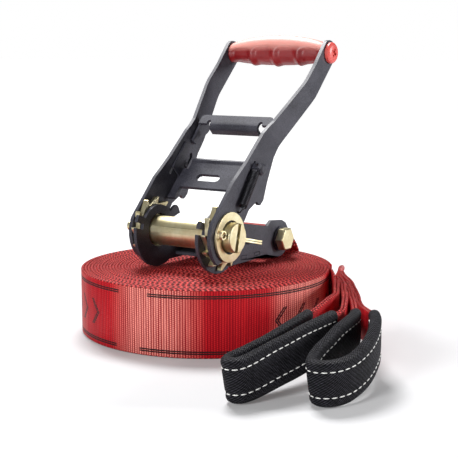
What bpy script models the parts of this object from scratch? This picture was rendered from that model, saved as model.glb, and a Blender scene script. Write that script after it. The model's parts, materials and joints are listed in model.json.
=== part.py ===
"""Slackline set: a long-lever ratchet lying on its rolled webbing line, with two sleeved end loops.

Metres, +Z up. X runs along the spool, Y runs from the spool to the rear bolt.
The origin is the bottom centre of the whole set's box, on the floor.
"""

import math

import bpy
import bmesh
from mathutils import Matrix, Vector, geometry

# Webbing and its roll
WEB_WIDTH = 0.050
WEB_THICK = 0.0022
WEB_GAP = 0.00045
ROLL_RADIUS = 0.0967
ROLL_BORE = 0.0045
ROLL_LOOPS = 24
LOOP_POINTS = 24
ROLL_END_ANGLE = math.radians(36.0)
CLEARANCE = 0.0003
OVERRUN = 0.002

# Spool and its wheels
SPOOL_OFFSET = -0.0253
SHAFT_RADIUS = 0.0114
SHAFT_SLOT = 0.0039
SHAFT_HALF_LENGTH = 0.0465
SHAFT_CHAMFER = 0.0008
BORE_PLAY = 0.0003
WHEEL_TEETH = 12
WHEEL_TIP_RADIUS = 0.0255
WHEEL_ROOT_RADIUS = 0.0205
WHEEL_THICK = 0.0040
TOOTH_FACE_SHARE = 0.06
TOOTH_CREST_SHARE = 0.10
TOOTH_BACK_SHARE = 0.90
WASHER_RADIUS = 0.0190
WASHER_THICK = 0.0018
WASHER_PLAY = 0.0014
PIN_HEIGHT = 0.0030
PIN_WIDTH = 0.0024
PIN_SPLIT = 0.0005
PIN_EYE_RADIUS = 0.0036
PIN_REACH = 0.0163
PIN_BEND_START = 0.0135
PIN_BEND = 0.45
PIN_HEAD_STANDOFF = 0.0010
PIN_BORE_RADIUS = 0.0022
PIN_PLACE = 0.0429

# Base plates, measured from the spool axis
BASE_INNER = 0.0271
BASE_BORE_PLAY = 0.0016
BASE_THICK = 0.0028
RIM_RADIUS = 0.0283
FINGER_RADIUS = 0.0295
WORKING_RADIUS = 0.0197
NOTCH_FLOOR = 0.0200
NOTCH_WIDTH = 0.0044
BOLT_DISTANCE = 0.0867
EAR_RADIUS = 0.0150
CORNER_RADIUS = 0.0015

# Angles about the spool axis, from +Y towards +Z
TOOTH_PITCH = 2.0 * math.pi / WHEEL_TEETH
HANDLE_REST = math.radians(45.86)
CLOSED_NOTCH = HANDLE_REST - TOOTH_PITCH
OPEN_NOTCH = HANDLE_REST + 4.0 * TOOTH_PITCH
LOCK_DIRECTION = HANDLE_REST - 2.0 * TOOTH_PITCH
FINGER_TIP_ANGLE = math.radians(35.0)
FINGER_FOOT_ANGLE = math.radians(40.5)
STEP_FOOT_ANGLE = math.radians(146.0)
STEP_TOP_ANGLE = math.radians(149.5)
DISC_END_ANGLE = math.radians(298.0)
PIN_TILT = math.radians(-14.0)

# Pawls
PAWL_THICK = 0.0030
PAWL_ENGAGED_RADIUS = 0.0220
PAWL_TAB_INNER = 0.0229
PAWL_SLOT_PLAY = 0.0003
LOCK_TRAVEL = 0.0060
LOCK_TAB_DEPTH = 0.0140
LOCK_BODY_START = 0.0320
LOCK_BODY_END = 0.0480
DRIVE_TRAVEL = 0.0090
DRIVE_REST_RADIUS = PAWL_ENGAGED_RADIUS + DRIVE_TRAVEL
DRIVE_BODY_START = 0.0420
DRIVE_BODY_END = 0.0690
DRIVE_TAB_INNER = 0.0274
DRIVE_EDGE_NOTCH = 0.0282
DRIVE_NOTCH_START = 0.0600
FINGER_BAR_RADIUS = 0.0026
FLANGE_THICK = 0.0015
FLANGE_TOP = 0.0790
FLANGE_START = 0.0520
FLANGE_FRONT = 0.0132
FLANGE_REAR = 0.0036
PAWL_SLOT_HALF_LENGTH = 0.0078
PAWL_SLOT_RADIUS = 0.0033
PAWL_SLOT_PLACE = 0.0522
PAWL_SLOT_LEFT = 0.0055

# Base cross web
WEB_PLATE_THICK = 0.0025
WEB_PLATE_START = 0.0205
WEB_PLATE_END = 0.0605
WEB_PLATE_DROP = 0.0210
WEB_PLATE_RISE = 0.0130
TIE_TAB_WIDTH = 0.0070
TIE_TAB_FRONT = 0.0330
TIE_TAB_REAR = 0.0520

# Handle
HANDLE_REACH = 0.1890
HANDLE_THICK = 0.0030
HANDLE_INNER = 0.0349
HANDLE_SPREAD = 0.0108
BEND_START = 0.0900
BEND_END = 0.1520
BEND_SOFTNESS = 0.16
HANDLE_DISC_RADIUS = 0.0240
HANDLE_HEEL_RADIUS = 0.0186
HANDLE_END_RADIUS = 0.0103
HANDLE_CORNER = 0.0030
HOOK_CORNER = 0.0012
UPPER_WEB_TOP = 0.1100
UPPER_WEB_DEPTH = 0.0070
UPPER_WEB_THICK = 0.0026
UPPER_WEB_FRONT = 0.0097
UPPER_LIP_HALF_LENGTH = 0.0230
UPPER_LIP_RADIUS = 0.0040
UPPER_LIP_REACH = 0.0050
UPPER_NOTCH_RADIUS = 0.0017
EAR_FLANGE_TOP = 0.1075
EAR_FLANGE_LOW = 0.0840

# Grip
GRIP_END_RADIUS = 0.0080
GRIP_CROWN = 0.0143
GRIP_DEPTH = 0.0115
GRIP_GROOVE = 0.0022
GRIP_GROOVES = 4
GRIP_STATIONS = 25
GRIP_POINTS = 14
GRIP_ROD_RADIUS = 0.0040
GRIP_CAP_RADIUS = 0.0086
GRIP_CAP_THICK = 0.0042
REAR_CAP_RADIUS = 0.0060
REAR_CAP_THICK = 0.0020
RECESS_SHARE = 0.36
RECESS_LENGTH = 0.0036
RECESS_WIDTH = 0.0011
RECESS_TURN = math.radians(20.0)

# Springs and guide screws on the handle
SPRING_RADIUS = 0.00285
SPRING_WIRE = 0.0013
SPRING_CURLS = 13
CURL_POINTS = 8
SPRING_STANDOFF = 0.0002
SPRING_TOP = (0.0535, 0.0089)
SPRING_FOOT = (0.0252, 0.0054)
SPRING_LUG = (0.0596, 0.0111)
SPRING_ANCHOR = (0.0213, 0.0028)
ANCHOR_HOLE_RADIUS = 0.0012
LUG_WIDTH = 0.0052
LUG_THICK = 0.0020
LUG_EYE_RADIUS = 0.0013
GUIDE_SCREW_PLACE = (0.0648, 0.0006)
SCREW_RADIUS = 0.0020
SCREW_HEAD_RADIUS = 0.0046
SCREW_HEAD_HEIGHT = 0.0028
LOCK_SPRING_RADIUS = 0.0030
LOCK_SPRING_WIRE = 0.0010
LOCK_SPRING_CURLS = 4
LOCK_SPRING_PLACE = 0.0140

# Rear bolt
BOLT_RADIUS = 0.0049
HEX_FLATS = 0.0170
HEX_HEIGHT = 0.0064
BOLT_WASHER_RADIUS = 0.0100
BOLT_WASHER_THICK = 0.0016
SLEEVE_TUBE_RADIUS = 0.0078
BOLT_END = 0.0030

# Sewn loops and their sleeves
FOLD_HEIGHT = 0.0236
FOLD_THICK = 0.0040
SLEEVE_HEIGHT = 0.0272
SLEEVE_THICK = 0.0078
SLEEVE_WALL = 0.0013
SLEEVE_CORNER = 0.0024
ROUTE_STEPS = 2

# Folded surplus of the sling, lying flat behind the roll
STACK_LAYERS = 12
STACK_FRONT = 0.1142
STACK_LEFT = -0.0920
STACK_RIGHT = 0.0120
TURN_POINTS = 4
EYE_POINTS = 11

# Outlines as shares of the length that they follow; along, then across
ARM_LOW_SHARES = ((0.160, -0.290), (0.693, -0.288), (0.752, -0.272), (0.830, -0.292))
ARM_TOP_SHARES = ((1.145, -0.072), (1.103, -0.016), (1.040, 0.014), (0.865, 0.031), (0.842, 0.029),
                  (0.783, -0.010), (0.407, 0.059))
HANDLE_REAR_SHARES = ((0.168, 0.0420), (0.2286, 0.0650), (0.2312, 0.0960), (0.264, 0.1010),
                      (0.337, 0.0710), (0.440, 0.0400), (0.495, 0.0370), (0.620, 0.0420), (0.787, 0.0470))
HANDLE_FRONT_SHARES = ((0.925, -0.0455), (0.789, -0.0530), (0.547, -0.0690), (0.465, -0.0880),
                       (0.303, -0.1020), (0.143, -0.1270))

# Grip section stations: share of the half length, share of the crown, share of the depth
GRIP_PROFILE_SHARES = ((-1.0, 0.0, 0.0), (-0.75, 0.50, 0.55), (-0.4, 0.86, 0.9), (0.0, 1.0, 1.0),
                       (0.4, 0.92, 0.95), (0.75, 0.58, 0.62), (1.0, 0.0, 0.0))

# Routes of the folded straps: x, y, z of the middle, lean of the upper edge in x and y, height, thickness
LINE_ROUTE = (
    (0.0870, 0.0450, 0.0265, 0.0, 0.0, 0.0460, 0.0024),
    (0.0955, 0.0335, 0.0315, 0.0, 0.0, 0.0360, 0.0032),
    (0.1037, 0.0225, 0.0340, 0.0, 0.0, 0.0245, 0.0040),
    (0.1130, 0.0050, 0.0337, 0.0, 0.0, FOLD_HEIGHT, FOLD_THICK),
    (0.1225, -0.0130, 0.0330, 0.0, 0.0, FOLD_HEIGHT, FOLD_THICK),
    (0.1280, -0.0330, 0.0315, 0.0, 0.0, FOLD_HEIGHT, FOLD_THICK),
    (0.1325, -0.0540, 0.0290, 0.0, 0.0, FOLD_HEIGHT, FOLD_THICK),
    (0.1350, -0.0710, 0.0278, 0.0, 0.0, FOLD_HEIGHT, FOLD_THICK),
    (0.1352, -0.0840, 0.0266, 0.0, 0.0, FOLD_HEIGHT, FOLD_THICK),
    (0.1340, -0.0970, 0.0248, 0.0, 0.0, FOLD_HEIGHT, FOLD_THICK),
    (0.1318, -0.1130, 0.0210, 0.0, 0.0, FOLD_HEIGHT, FOLD_THICK),
    (0.1273, -0.1265, 0.0172, -0.0010, -0.0020, FOLD_HEIGHT, FOLD_THICK),
    (0.1238, -0.1350, 0.0148, -0.0020, -0.0030, FOLD_HEIGHT, FOLD_THICK),
    (0.1235, -0.1385, 0.0143, -0.0020, -0.0030, FOLD_HEIGHT, FOLD_THICK),
    (0.1251, -0.1422, 0.0141, -0.0020, -0.0030, FOLD_HEIGHT, FOLD_THICK),
    (0.1288, -0.1437, 0.0141, -0.0015, -0.0030, FOLD_HEIGHT, FOLD_THICK),
    (0.1323, -0.1421, 0.0142, -0.0015, -0.0028, FOLD_HEIGHT, FOLD_THICK),
    (0.1346, -0.1380, 0.0149, -0.0020, -0.0020, FOLD_HEIGHT, FOLD_THICK),
    (0.1372, -0.1322, 0.0165, -0.0030, -0.0010, FOLD_HEIGHT, FOLD_THICK),
    (0.1430, -0.1200, 0.0208, -0.0050, 0.0010, FOLD_HEIGHT, FOLD_THICK),
    (0.1470, -0.1090, 0.0238, -0.0060, 0.0020, FOLD_HEIGHT, FOLD_THICK),
    (0.1503, -0.0980, 0.0258, -0.0060, 0.0020, FOLD_HEIGHT, FOLD_THICK),
    (0.1522, -0.0850, 0.0270, -0.0040, 0.0010, FOLD_HEIGHT, FOLD_THICK),
    (0.1530, -0.0720, 0.0278, -0.0020, 0.0, FOLD_HEIGHT, FOLD_THICK),
    (0.1515, -0.0570, 0.0286, 0.0, 0.0, FOLD_HEIGHT, FOLD_THICK),
    (0.1430, -0.0390, 0.0303, 0.0, 0.0, FOLD_HEIGHT, FOLD_THICK),
    (0.1305, -0.0140, 0.0315, 0.0, 0.0, FOLD_HEIGHT, FOLD_THICK),
    (0.1190, 0.0050, 0.0320, 0.0, 0.0, FOLD_HEIGHT, FOLD_THICK),
    (0.1093, 0.0225, 0.0320, 0.0, 0.0, FOLD_HEIGHT, FOLD_THICK),
    (0.0975, 0.0400, 0.0315, 0.0, 0.0, FOLD_HEIGHT, FOLD_THICK),
    (0.0905, 0.0495, 0.0310, 0.0, 0.0, FOLD_HEIGHT, FOLD_THICK),
)
LINE_SLEEVE_SPAN = (8.75, 23.6)

SLING_ROUTE = (
    (0.0126, 0.1392, 0.0013, 0.0, 0.0500, 0.0500, 0.0022),
    (0.0240, 0.1383, 0.0054, 0.0030, 0.0485, 0.0490, 0.0022),
    (0.0370, 0.1310, 0.0146, 0.0120, 0.0360, 0.0440, 0.0026),
    (0.0490, 0.1165, 0.0202, 0.0120, 0.0160, 0.0360, 0.0035),
    (0.0620, 0.1010, 0.0245, 0.0040, 0.0040, 0.0270, 0.0040),
    (0.0765, 0.0850, 0.0250, 0.0, 0.0, FOLD_HEIGHT, FOLD_THICK),
    (0.0915, 0.0670, 0.0250, 0.0, 0.0, FOLD_HEIGHT, FOLD_THICK),
    (0.1050, 0.0470, 0.0250, 0.0, 0.0, FOLD_HEIGHT, FOLD_THICK),
    (0.1212, 0.0225, 0.0248, 0.0, 0.0, FOLD_HEIGHT, FOLD_THICK),
    (0.1315, 0.0050, 0.0248, 0.0, 0.0, FOLD_HEIGHT, FOLD_THICK),
    (0.1430, -0.0130, 0.0252, 0.0, 0.0, FOLD_HEIGHT, FOLD_THICK),
    (0.1575, -0.0335, 0.0270, 0.0, 0.0, FOLD_HEIGHT, FOLD_THICK),
    (0.1690, -0.0490, 0.0282, 0.0, 0.0, FOLD_HEIGHT, FOLD_THICK),
    (0.1762, -0.0620, 0.0276, 0.0, 0.0, FOLD_HEIGHT, FOLD_THICK),
    (0.1820, -0.0750, 0.0252, 0.0, 0.0, FOLD_HEIGHT, FOLD_THICK),
    (0.1853, -0.0880, 0.0218, 0.0, 0.0, FOLD_HEIGHT, FOLD_THICK),
    (0.1861, -0.0990, 0.0184, 0.0, 0.0, FOLD_HEIGHT, FOLD_THICK),
    (0.1846, -0.1090, 0.0158, 0.0, 0.0, FOLD_HEIGHT, FOLD_THICK),
    (0.1813, -0.1168, 0.0144, 0.0, -0.0015, FOLD_HEIGHT, FOLD_THICK),
    (0.1767, -0.1218, 0.0142, -0.0010, -0.0025, FOLD_HEIGHT, FOLD_THICK),
    (0.1711, -0.1212, 0.0142, -0.0020, -0.0025, FOLD_HEIGHT, FOLD_THICK),
    (0.1676, -0.1150, 0.0154, -0.0015, -0.0020, FOLD_HEIGHT, FOLD_THICK),
    (0.1657, -0.1055, 0.0186, -0.0010, -0.0010, FOLD_HEIGHT, FOLD_THICK),
    (0.1652, -0.0950, 0.0220, 0.0, 0.0, FOLD_HEIGHT, FOLD_THICK),
    (0.1652, -0.0840, 0.0253, 0.0, 0.0, FOLD_HEIGHT, FOLD_THICK),
    (0.1648, -0.0720, 0.0270, 0.0, 0.0, FOLD_HEIGHT, FOLD_THICK),
    (0.1620, -0.0580, 0.0281, 0.0, 0.0, FOLD_HEIGHT, FOLD_THICK),
    (0.1530, -0.0420, 0.0288, 0.0, 0.0, FOLD_HEIGHT, FOLD_THICK),
    (0.1375, -0.0155, 0.0285, 0.0, 0.0, FOLD_HEIGHT, FOLD_THICK),
    (0.1252, 0.0050, 0.0282, 0.0, 0.0, FOLD_HEIGHT, FOLD_THICK),
    (0.1150, 0.0225, 0.0280, 0.0, 0.0, FOLD_HEIGHT, FOLD_THICK),
    (0.1020, 0.0420, 0.0278, 0.0, 0.0, FOLD_HEIGHT, FOLD_THICK),
    (0.0950, 0.0520, 0.0275, 0.0, 0.0, FOLD_HEIGHT, FOLD_THICK),
)
SLING_SLEEVE_SPAN = (12.3, 26.0)

# The sling's way over the roll: y and z from the bolt axis
DRAPE_ROUTE = ((0.0246, -0.0003), (0.0300, -0.0040), (0.0352, -0.0092), (0.0392, -0.0149),
               (0.0411, -0.0212), (0.0428, -0.0272), (0.0468, -0.0313), (0.0515, -0.0323))
UNDER_STRAND_POINTS = 3

# Worked-out places
SPOOL_HEIGHT = WEB_WIDTH + CLEARANCE + RIM_RADIUS
BOLT_DROP = RIM_RADIUS - EAR_RADIUS
BOLT_ALONG = math.sqrt(BOLT_DISTANCE ** 2 - BOLT_DROP ** 2)
BASE_OUTER = BASE_INNER + BASE_THICK
WHEEL_INNER = BASE_OUTER + CLEARANCE
WHEEL_OUTER = WHEEL_INNER + WHEEL_THICK
HANDLE_OUTER = HANDLE_INNER + HANDLE_THICK
WASHER_INNER = HANDLE_OUTER + CLEARANCE
TAB_OUTER = WHEEL_OUTER + CLEARANCE
BORE_RADIUS = SHAFT_RADIUS + BORE_PLAY
STACK_PITCH = WEB_THICK + WEB_GAP
LOCK_SPRING_SEAT = WEB_PLATE_END - WEB_PLATE_THICK

COLOURS = {
    "black_steel": ((0.045, 0.046, 0.052, 1.0), 0.45, 0.6),
    "gold_zinc": ((0.72, 0.66, 0.38, 1.0), 0.32, 1.0),
    "red_plastic": ((0.55, 0.03, 0.035, 1.0), 0.4, 0.0),
    "red_webbing": ((0.60, 0.025, 0.035, 1.0), 0.75, 0.0),
    "black_fabric": ((0.02, 0.02, 0.024, 1.0), 0.85, 0.0),
    "spring_steel": ((0.03, 0.03, 0.032, 1.0), 0.4, 0.9),
}


def clear_scene():
    """Empty the file before modelling."""
    for item in list(bpy.data.objects):
        bpy.data.objects.remove(item, do_unlink=True)


def material_for(node, finish):
    """A node's own Principled material in one of the set's finishes."""
    colour, roughness, metallic = COLOURS[finish]
    material = bpy.data.materials.new(node + "_" + finish)
    material.use_nodes = True
    shader = material.node_tree.nodes["Principled BSDF"]
    shader.inputs["Base Color"].default_value = colour
    shader.inputs["Roughness"].default_value = roughness
    shader.inputs["Metallic"].default_value = metallic
    return material


def empty(name, parent, place, turn=0.0):
    """An axis marker turned about X, which carries the pieces that hang on it."""
    marker = bpy.data.objects.new(name, None)
    bpy.context.scene.collection.objects.link(marker)
    marker.parent = parent
    marker.location = place
    marker.rotation_euler = (turn, 0.0, 0.0)
    return marker


def build(node, finish, points, faces, parent, smooth=True):
    """One closed body from points and faces, its faces turned outwards."""
    mesh = bpy.data.meshes.new(node)
    mesh.from_pydata([tuple(p) for p in points], [], faces)
    shell = bmesh.new()
    shell.from_mesh(mesh)
    bmesh.ops.recalc_face_normals(shell, faces=shell.faces)
    shell.to_mesh(mesh)
    shell.free()
    if smooth:
        mesh.shade_smooth()
        mesh.set_sharp_from_angle(angle=math.radians(35.0))
    mesh.materials.append(material_for(node, finish))
    piece = bpy.data.objects.new(node, mesh)
    bpy.context.scene.collection.objects.link(piece)
    piece.parent = parent
    return piece


def cutter(node, points, faces, parent):
    """A hidden body that a Boolean takes away from a piece."""
    piece = build(node, "black_steel", points, faces, parent, smooth=False)
    piece.hide_render = True
    piece.display_type = "WIRE"
    return piece


def cut(piece, tool, operation="DIFFERENCE"):
    """A live Boolean on the piece."""
    change = piece.modifiers.new(tool.name, "BOOLEAN")
    change.object = tool
    change.operation = operation
    change.solver = "EXACT"


def arc(radius, start, end, steps, centre=(0.0, 0.0)):
    """Points along a circle, both ends included."""
    points = []
    for step in range(steps + 1):
        angle = start + (end - start) * step / steps
        points.append((centre[0] + radius * math.cos(angle), centre[1] + radius * math.sin(angle)))
    return points


def circle(radius, count, centre=(0.0, 0.0)):
    """A round outline."""
    return arc(radius, 0.0, 2.0 * math.pi * (count - 1) / count, count - 1, centre)


def slot(half_length, radius, centre, turn=0.0, steps=4):
    """An outline with two round ends."""
    points = []
    for side in (0.0, math.pi):
        end = (centre[0] + half_length * math.cos(turn + side),
               centre[1] + half_length * math.sin(turn + side))
        points += arc(radius, turn + side - math.pi / 2.0, turn + side + math.pi / 2.0, steps, end)
    return points


def box_outline(low, high):
    """A rectangle's corners."""
    return [(low[0], low[1]), (high[0], low[1]), (high[0], high[1]), (low[0], high[1])]


def fillet(points, radius, steps=2):
    """Round every corner of an outline; a radius is held to its own two edges."""
    rounded = []
    count = len(points)
    for index in range(count):
        here = Vector(points[index])
        before = Vector(points[index - 1]) - here
        after = Vector(points[(index + 1) % count]) - here
        half = before.angle(after) / 2.0
        reach = min(radius / math.tan(half), before.length * 0.45, after.length * 0.45)
        first = here + before.normalized() * reach
        last = here + after.normalized() * reach
        for step in range(steps + 1):
            share = step / steps
            mixed = first.lerp(here, share).lerp(here.lerp(last, share), share)
            rounded.append((mixed.x, mixed.y))
    return rounded


def prism(outline, holes, low, high, place):
    """A plate between two depths; place(u, v, depth) gives each point."""
    loops = [list(outline)] + [list(hole) for hole in holes]
    flat = [point for loop in loops for point in loop]
    count = len(flat)
    points = [place(u, v, low) for u, v in flat] + [place(u, v, high) for u, v in flat]
    faces = []
    for tri in geometry.tessellate_polygon([[Vector((u, v, 0.0)) for u, v in loop] for loop in loops]):
        faces.append(tuple(tri))
        faces.append(tuple(index + count for index in reversed(tri)))
    first = 0
    for loop in loops:
        for index in range(len(loop)):
            a = first + index
            b = first + (index + 1) % len(loop)
            faces.append((a, b, b + count, a + count))
        first += len(loop)
    return points, faces


def loft(rings, closed=False):
    """A skin through rings of equal count, capped at its ends or closed into a ring of its own."""
    size = len(rings[0])
    points = [point for ring in rings for point in ring]
    faces = []
    last = len(rings) if closed else len(rings) - 1
    for row in range(last):
        here = row * size
        there = ((row + 1) % len(rings)) * size
        for index in range(size):
            after = (index + 1) % size
            faces.append((here + index, here + after, there + after, there + index))
    if not closed:
        faces.append(tuple(range(size)))
        faces.append(tuple(range(len(points) - size, len(points))))
    return points, faces


def turned(profile, count, centre=(0.0, 0.0), bored=False):
    """A body turned about X; the profile is (x, radius), closed on itself for a bored piece."""
    rings = []
    for x, radius in profile:
        rings.append([Vector((x, centre[0] + u, centre[1] + v)) for u, v in circle(radius, count)])
    return loft(rings, closed=bored)


def across(u, v, depth):
    """An outline in the plane square to the spool."""
    return Vector((depth, u, v))


def flat_lying(u, v, depth):
    """An outline in the plane of the spool and the lever."""
    return Vector((u, v, depth))


def mirrored(points, side):
    """Points for the left or the right hand of the set."""
    return [Vector((point[0] * side, point[1], point[2])) for point in points]


def polar(radius, angle):
    return (radius * math.cos(angle), radius * math.sin(angle))


def along(direction, distance, offset):
    """A point at a distance along a direction and an offset to its left."""
    u, v = polar(distance, direction)
    return (u - offset * math.sin(direction), v + offset * math.cos(direction))


def smooth_route(route, steps):
    """A smooth curve through the route's own points."""
    rows = [Vector(row) for row in route]
    rows = [rows[0] * 2.0 - rows[1]] + rows + [rows[-1] * 2.0 - rows[-2]]
    points = []
    for index in range(1, len(rows) - 2):
        a, b, c, d = rows[index - 1:index + 3]
        for step in range(steps):
            t = step / steps
            points.append((b * 2.0 + (c - a) * t + (a * 2.0 - b * 5.0 + c * 4.0 - d) * t ** 2
                           + (b * 3.0 - a - c * 3.0 + d) * t ** 3) * 0.5)
    points.append(rows[-2])
    return points


def tangents(points):
    """Directions along a line of points."""
    result = []
    for index in range(len(points)):
        before = points[max(index - 1, 0)]
        after = points[min(index + 1, len(points) - 1)]
        result.append((after - before).normalized())
    return result


def strap_frames(stations):
    """Middle, up and side directions, height and thickness at each station of a strap."""
    middles = [Vector(row[:3]) for row in stations]
    frames = []
    for middle, heading, row in zip(middles, tangents(middles), stations):
        rise = math.sqrt(max(row[5] ** 2 - row[3] ** 2 - row[4] ** 2, 0.0))
        up = Vector((row[3], row[4], rise)).normalized()
        frames.append((middle, up, heading.cross(up).normalized(), row[5], row[6]))
    return frames


def strap(node, finish, frames, parent):
    """A flat strap along its frames."""
    rings = []
    for middle, up, side, height, thick in frames:
        rings.append([middle + up * (height * a) + side * (thick * b)
                      for a, b in ((0.5, 0.5), (0.5, -0.5), (-0.5, -0.5), (-0.5, 0.5))])
    points, faces = loft(rings)
    return build(node, finish, points, faces, parent)


def strip(node, finish, rows, thick, parent):
    """A flat strap given by its two edges, for folds that cross it at an angle."""
    middles = [(a + b) / 2.0 for a, b in rows]
    rings = []
    for (a, b), heading in zip(rows, tangents(middles)):
        side = heading.cross(b - a).normalized() * (thick / 2.0)
        rings.append([a + side, b + side, b - side, a - side])
    points, faces = loft(rings)
    return build(node, finish, points, faces, parent)


def wire(node, finish, points, thick, parent):
    """A wire along its points, as a filled curve."""
    curve = bpy.data.curves.new(node, "CURVE")
    curve.dimensions = "3D"
    curve.bevel_depth = thick / 2.0
    curve.bevel_resolution = 1
    curve.use_fill_caps = True
    line = curve.splines.new("POLY")
    line.points.add(len(points) - 1)
    for knot, point in zip(line.points, points):
        knot.co = (point[0], point[1], point[2], 1.0)
    curve.materials.append(material_for(node, finish))
    piece = bpy.data.objects.new(node, curve)
    bpy.context.scene.collection.objects.link(piece)
    piece.parent = parent
    return piece


def least_gap(points, thick, skip):
    """The least gap of a wound wire to itself, measured on its points."""
    best = math.inf
    for index, point in enumerate(points):
        for other in points[index + skip:]:
            best = min(best, (point - other).length)
    return best - thick


def roll_point(turns):
    """The middle line of the rolled strap, from the bore outwards, turning clockwise from above."""
    pitch = (ROLL_RADIUS - ROLL_BORE) / ROLL_LOOPS
    thick = pitch - WEB_GAP
    left = ROLL_LOOPS - turns
    radius = ROLL_RADIUS + (pitch - thick) / 2.0 - pitch * left
    angle = ROLL_END_ANGLE + 2.0 * math.pi * left
    return Vector((radius * math.cos(angle), radius * math.sin(angle), WEB_WIDTH / 2.0))


def make_roll(root):
    """The line, rolled on edge as one strap."""
    thick = (ROLL_RADIUS - ROLL_BORE) / ROLL_LOOPS - WEB_GAP
    middles = [roll_point(step / LOOP_POINTS) for step in range(ROLL_LOOPS * LOOP_POINTS + 1)]
    stations = [(p.x, p.y, p.z, 0.0, 0.0, WEB_WIDTH, thick) for p in middles]
    strap("webbing_roll", "red_webbing", strap_frames(stations), root)
    gap = min((middles[index + LOOP_POINTS] - middles[index]).length
              for index in range(len(middles) - LOOP_POINTS)) * math.cos(math.pi / LOOP_POINTS) - thick
    print("least gap in webbing_roll, m:", round(gap, 6))
    return middles[-1], (middles[-1] - middles[-2]).normalized()


def section(height, thick, corner):
    """Twelve points round a strap's section with rounded edges."""
    points = []
    for a, b, start in ((1, 1, 0.0), (1, -1, -90.0), (-1, -1, 180.0), (-1, 1, 90.0)):
        centre = (a * (height / 2.0 - corner), b * (thick / 2.0 - corner))
        turn = math.radians(start)
        points += arc(corner, turn + math.pi / 2.0, turn, 2, centre)
    return points


def make_sleeve(node, frames, root):
    """A padded tube round the folded strap."""
    outer = section(SLEEVE_HEIGHT, SLEEVE_THICK, SLEEVE_CORNER)
    inner = section(SLEEVE_HEIGHT - SLEEVE_WALL * 2.0, SLEEVE_THICK - SLEEVE_WALL * 2.0, SLEEVE_WALL / 4.0)
    rings = []
    for shape, order in ((outer, frames), (inner, frames[::-1])):
        for middle, up, side, height, thick in order:
            rings.append([middle + up * a + side * b for a, b in shape])
    points, faces = loft(rings, closed=True)
    build(node, "black_fabric", points, faces, root)


def span(frames, ends):
    """The stretch of a route between two of its own points."""
    return frames[round(ends[0] * ROUTE_STEPS):round(ends[1] * ROUTE_STEPS) + 1]


def make_line_loop(root):
    """The outer end of the line, folded into its sewn loop, with its sleeve."""
    end, heading = make_roll(root)
    start = end + heading * CLEARANCE
    first = (start.x, start.y, start.z, 0.0, 0.0, WEB_WIDTH - CLEARANCE * 2.0, WEB_THICK)
    frames = strap_frames(smooth_route((first,) + LINE_ROUTE, ROUTE_STEPS))
    strap("line_end_loop", "red_webbing", frames, root)
    make_sleeve("line_sleeve", span(frames, LINE_SLEEVE_SPAN), root)


def make_sling_loop(root):
    """The sling's far end, led round the roll and folded into its sewn loop, with its sleeve."""
    frames = strap_frames(smooth_route(SLING_ROUTE, ROUTE_STEPS))
    strap("sling_end_loop", "red_webbing", frames, root)
    make_sleeve("sling_sleeve", span(frames, SLING_SLEEVE_SPAN), root)


def make_sling_drape(root, bolt):
    """The sling's sewn eye round the bolt sleeve and its way down over the roll."""
    radius = SLEEVE_TUBE_RADIUS + CLEARANCE + WEB_THICK / 2.0
    way = [Vector(point) for point in DRAPE_ROUTE]
    under = []
    for index in range(UNDER_STRAND_POINTS):
        heading = (way[index + 1] - way[max(index - 1, 0)]).normalized()
        drop = Vector((heading.y, -heading.x)) * (WEB_THICK + WEB_GAP)
        under.append(way[index] + drop)
    eye = [Vector(point) for point in arc(radius, math.radians(-72.0), math.radians(-288.0), EYE_POINTS)]
    line = under[::-1] + eye + way
    half = WEB_WIDTH / 2.0
    rows = []
    for point in line:
        y = bolt.y + point.x
        z = bolt.z + point.y
        rows.append((Vector((-half, y, z)), Vector((half, y, z))))
    strip("sling_drape", "red_webbing", rows, WEB_THICK, root)


def make_sling_stack(root):
    """The sling's surplus, folded once across and then to and fro in flat layers."""
    half = WEB_WIDTH / 2.0
    front = STACK_FRONT
    back = STACK_FRONT + WEB_WIDTH
    turn = STACK_PITCH / 2.0
    level = [WEB_THICK / 2.0 + STACK_PITCH * layer for layer in range(STACK_LAYERS + 1)]
    top = level[-1]
    rows = []
    for share in (0.0, 0.5):
        right = front - OVERRUN * (1.0 - share)
        left = right + WEB_WIDTH * share
        rows.append((Vector((half, right, top)), Vector((-half, left, top))))
    for step in range(TURN_POINTS + 1):
        angle = math.pi * step / TURN_POINTS
        out = turn * math.sin(angle) * math.sqrt(0.5)
        z = top - turn + turn * math.cos(angle)
        rows.append((Vector((half + out, front + out, z)), Vector((-half + out, back + out, z))))
    rows.append((Vector((0.0, front, level[-2])), Vector((-half - OVERRUN, back, level[-2]))))
    ends = (STACK_LEFT, STACK_RIGHT)
    for layer in range(STACK_LAYERS - 1, 0, -1):
        outward = -1.0 if (STACK_LAYERS - 1 - layer) % 2 == 0 else 1.0
        x = ends[0] if outward < 0.0 else ends[1]
        for step in range(TURN_POINTS + 1):
            angle = math.pi * step / TURN_POINTS
            place = x + outward * turn * math.sin(angle)
            z = level[layer] - turn + turn * math.cos(angle)
            rows.append((Vector((place, front, z)), Vector((place, back, z))))
    rows.append((Vector((STACK_RIGHT, front, level[0])), Vector((STACK_RIGHT, back, level[0]))))
    strip("sling_stack", "red_webbing", rows, WEB_THICK, root)


def notch(direction, rim_low, rim_high):
    """A notch's four corners, in the order of rising angle."""
    half = NOTCH_WIDTH / 2.0
    low = math.sqrt(rim_low ** 2 - half ** 2)
    high = math.sqrt(rim_high ** 2 - half ** 2)
    return [along(direction, low, -half), along(direction, NOTCH_FLOOR, -half),
            along(direction, NOTCH_FLOOR, half), along(direction, high, half)]


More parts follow.
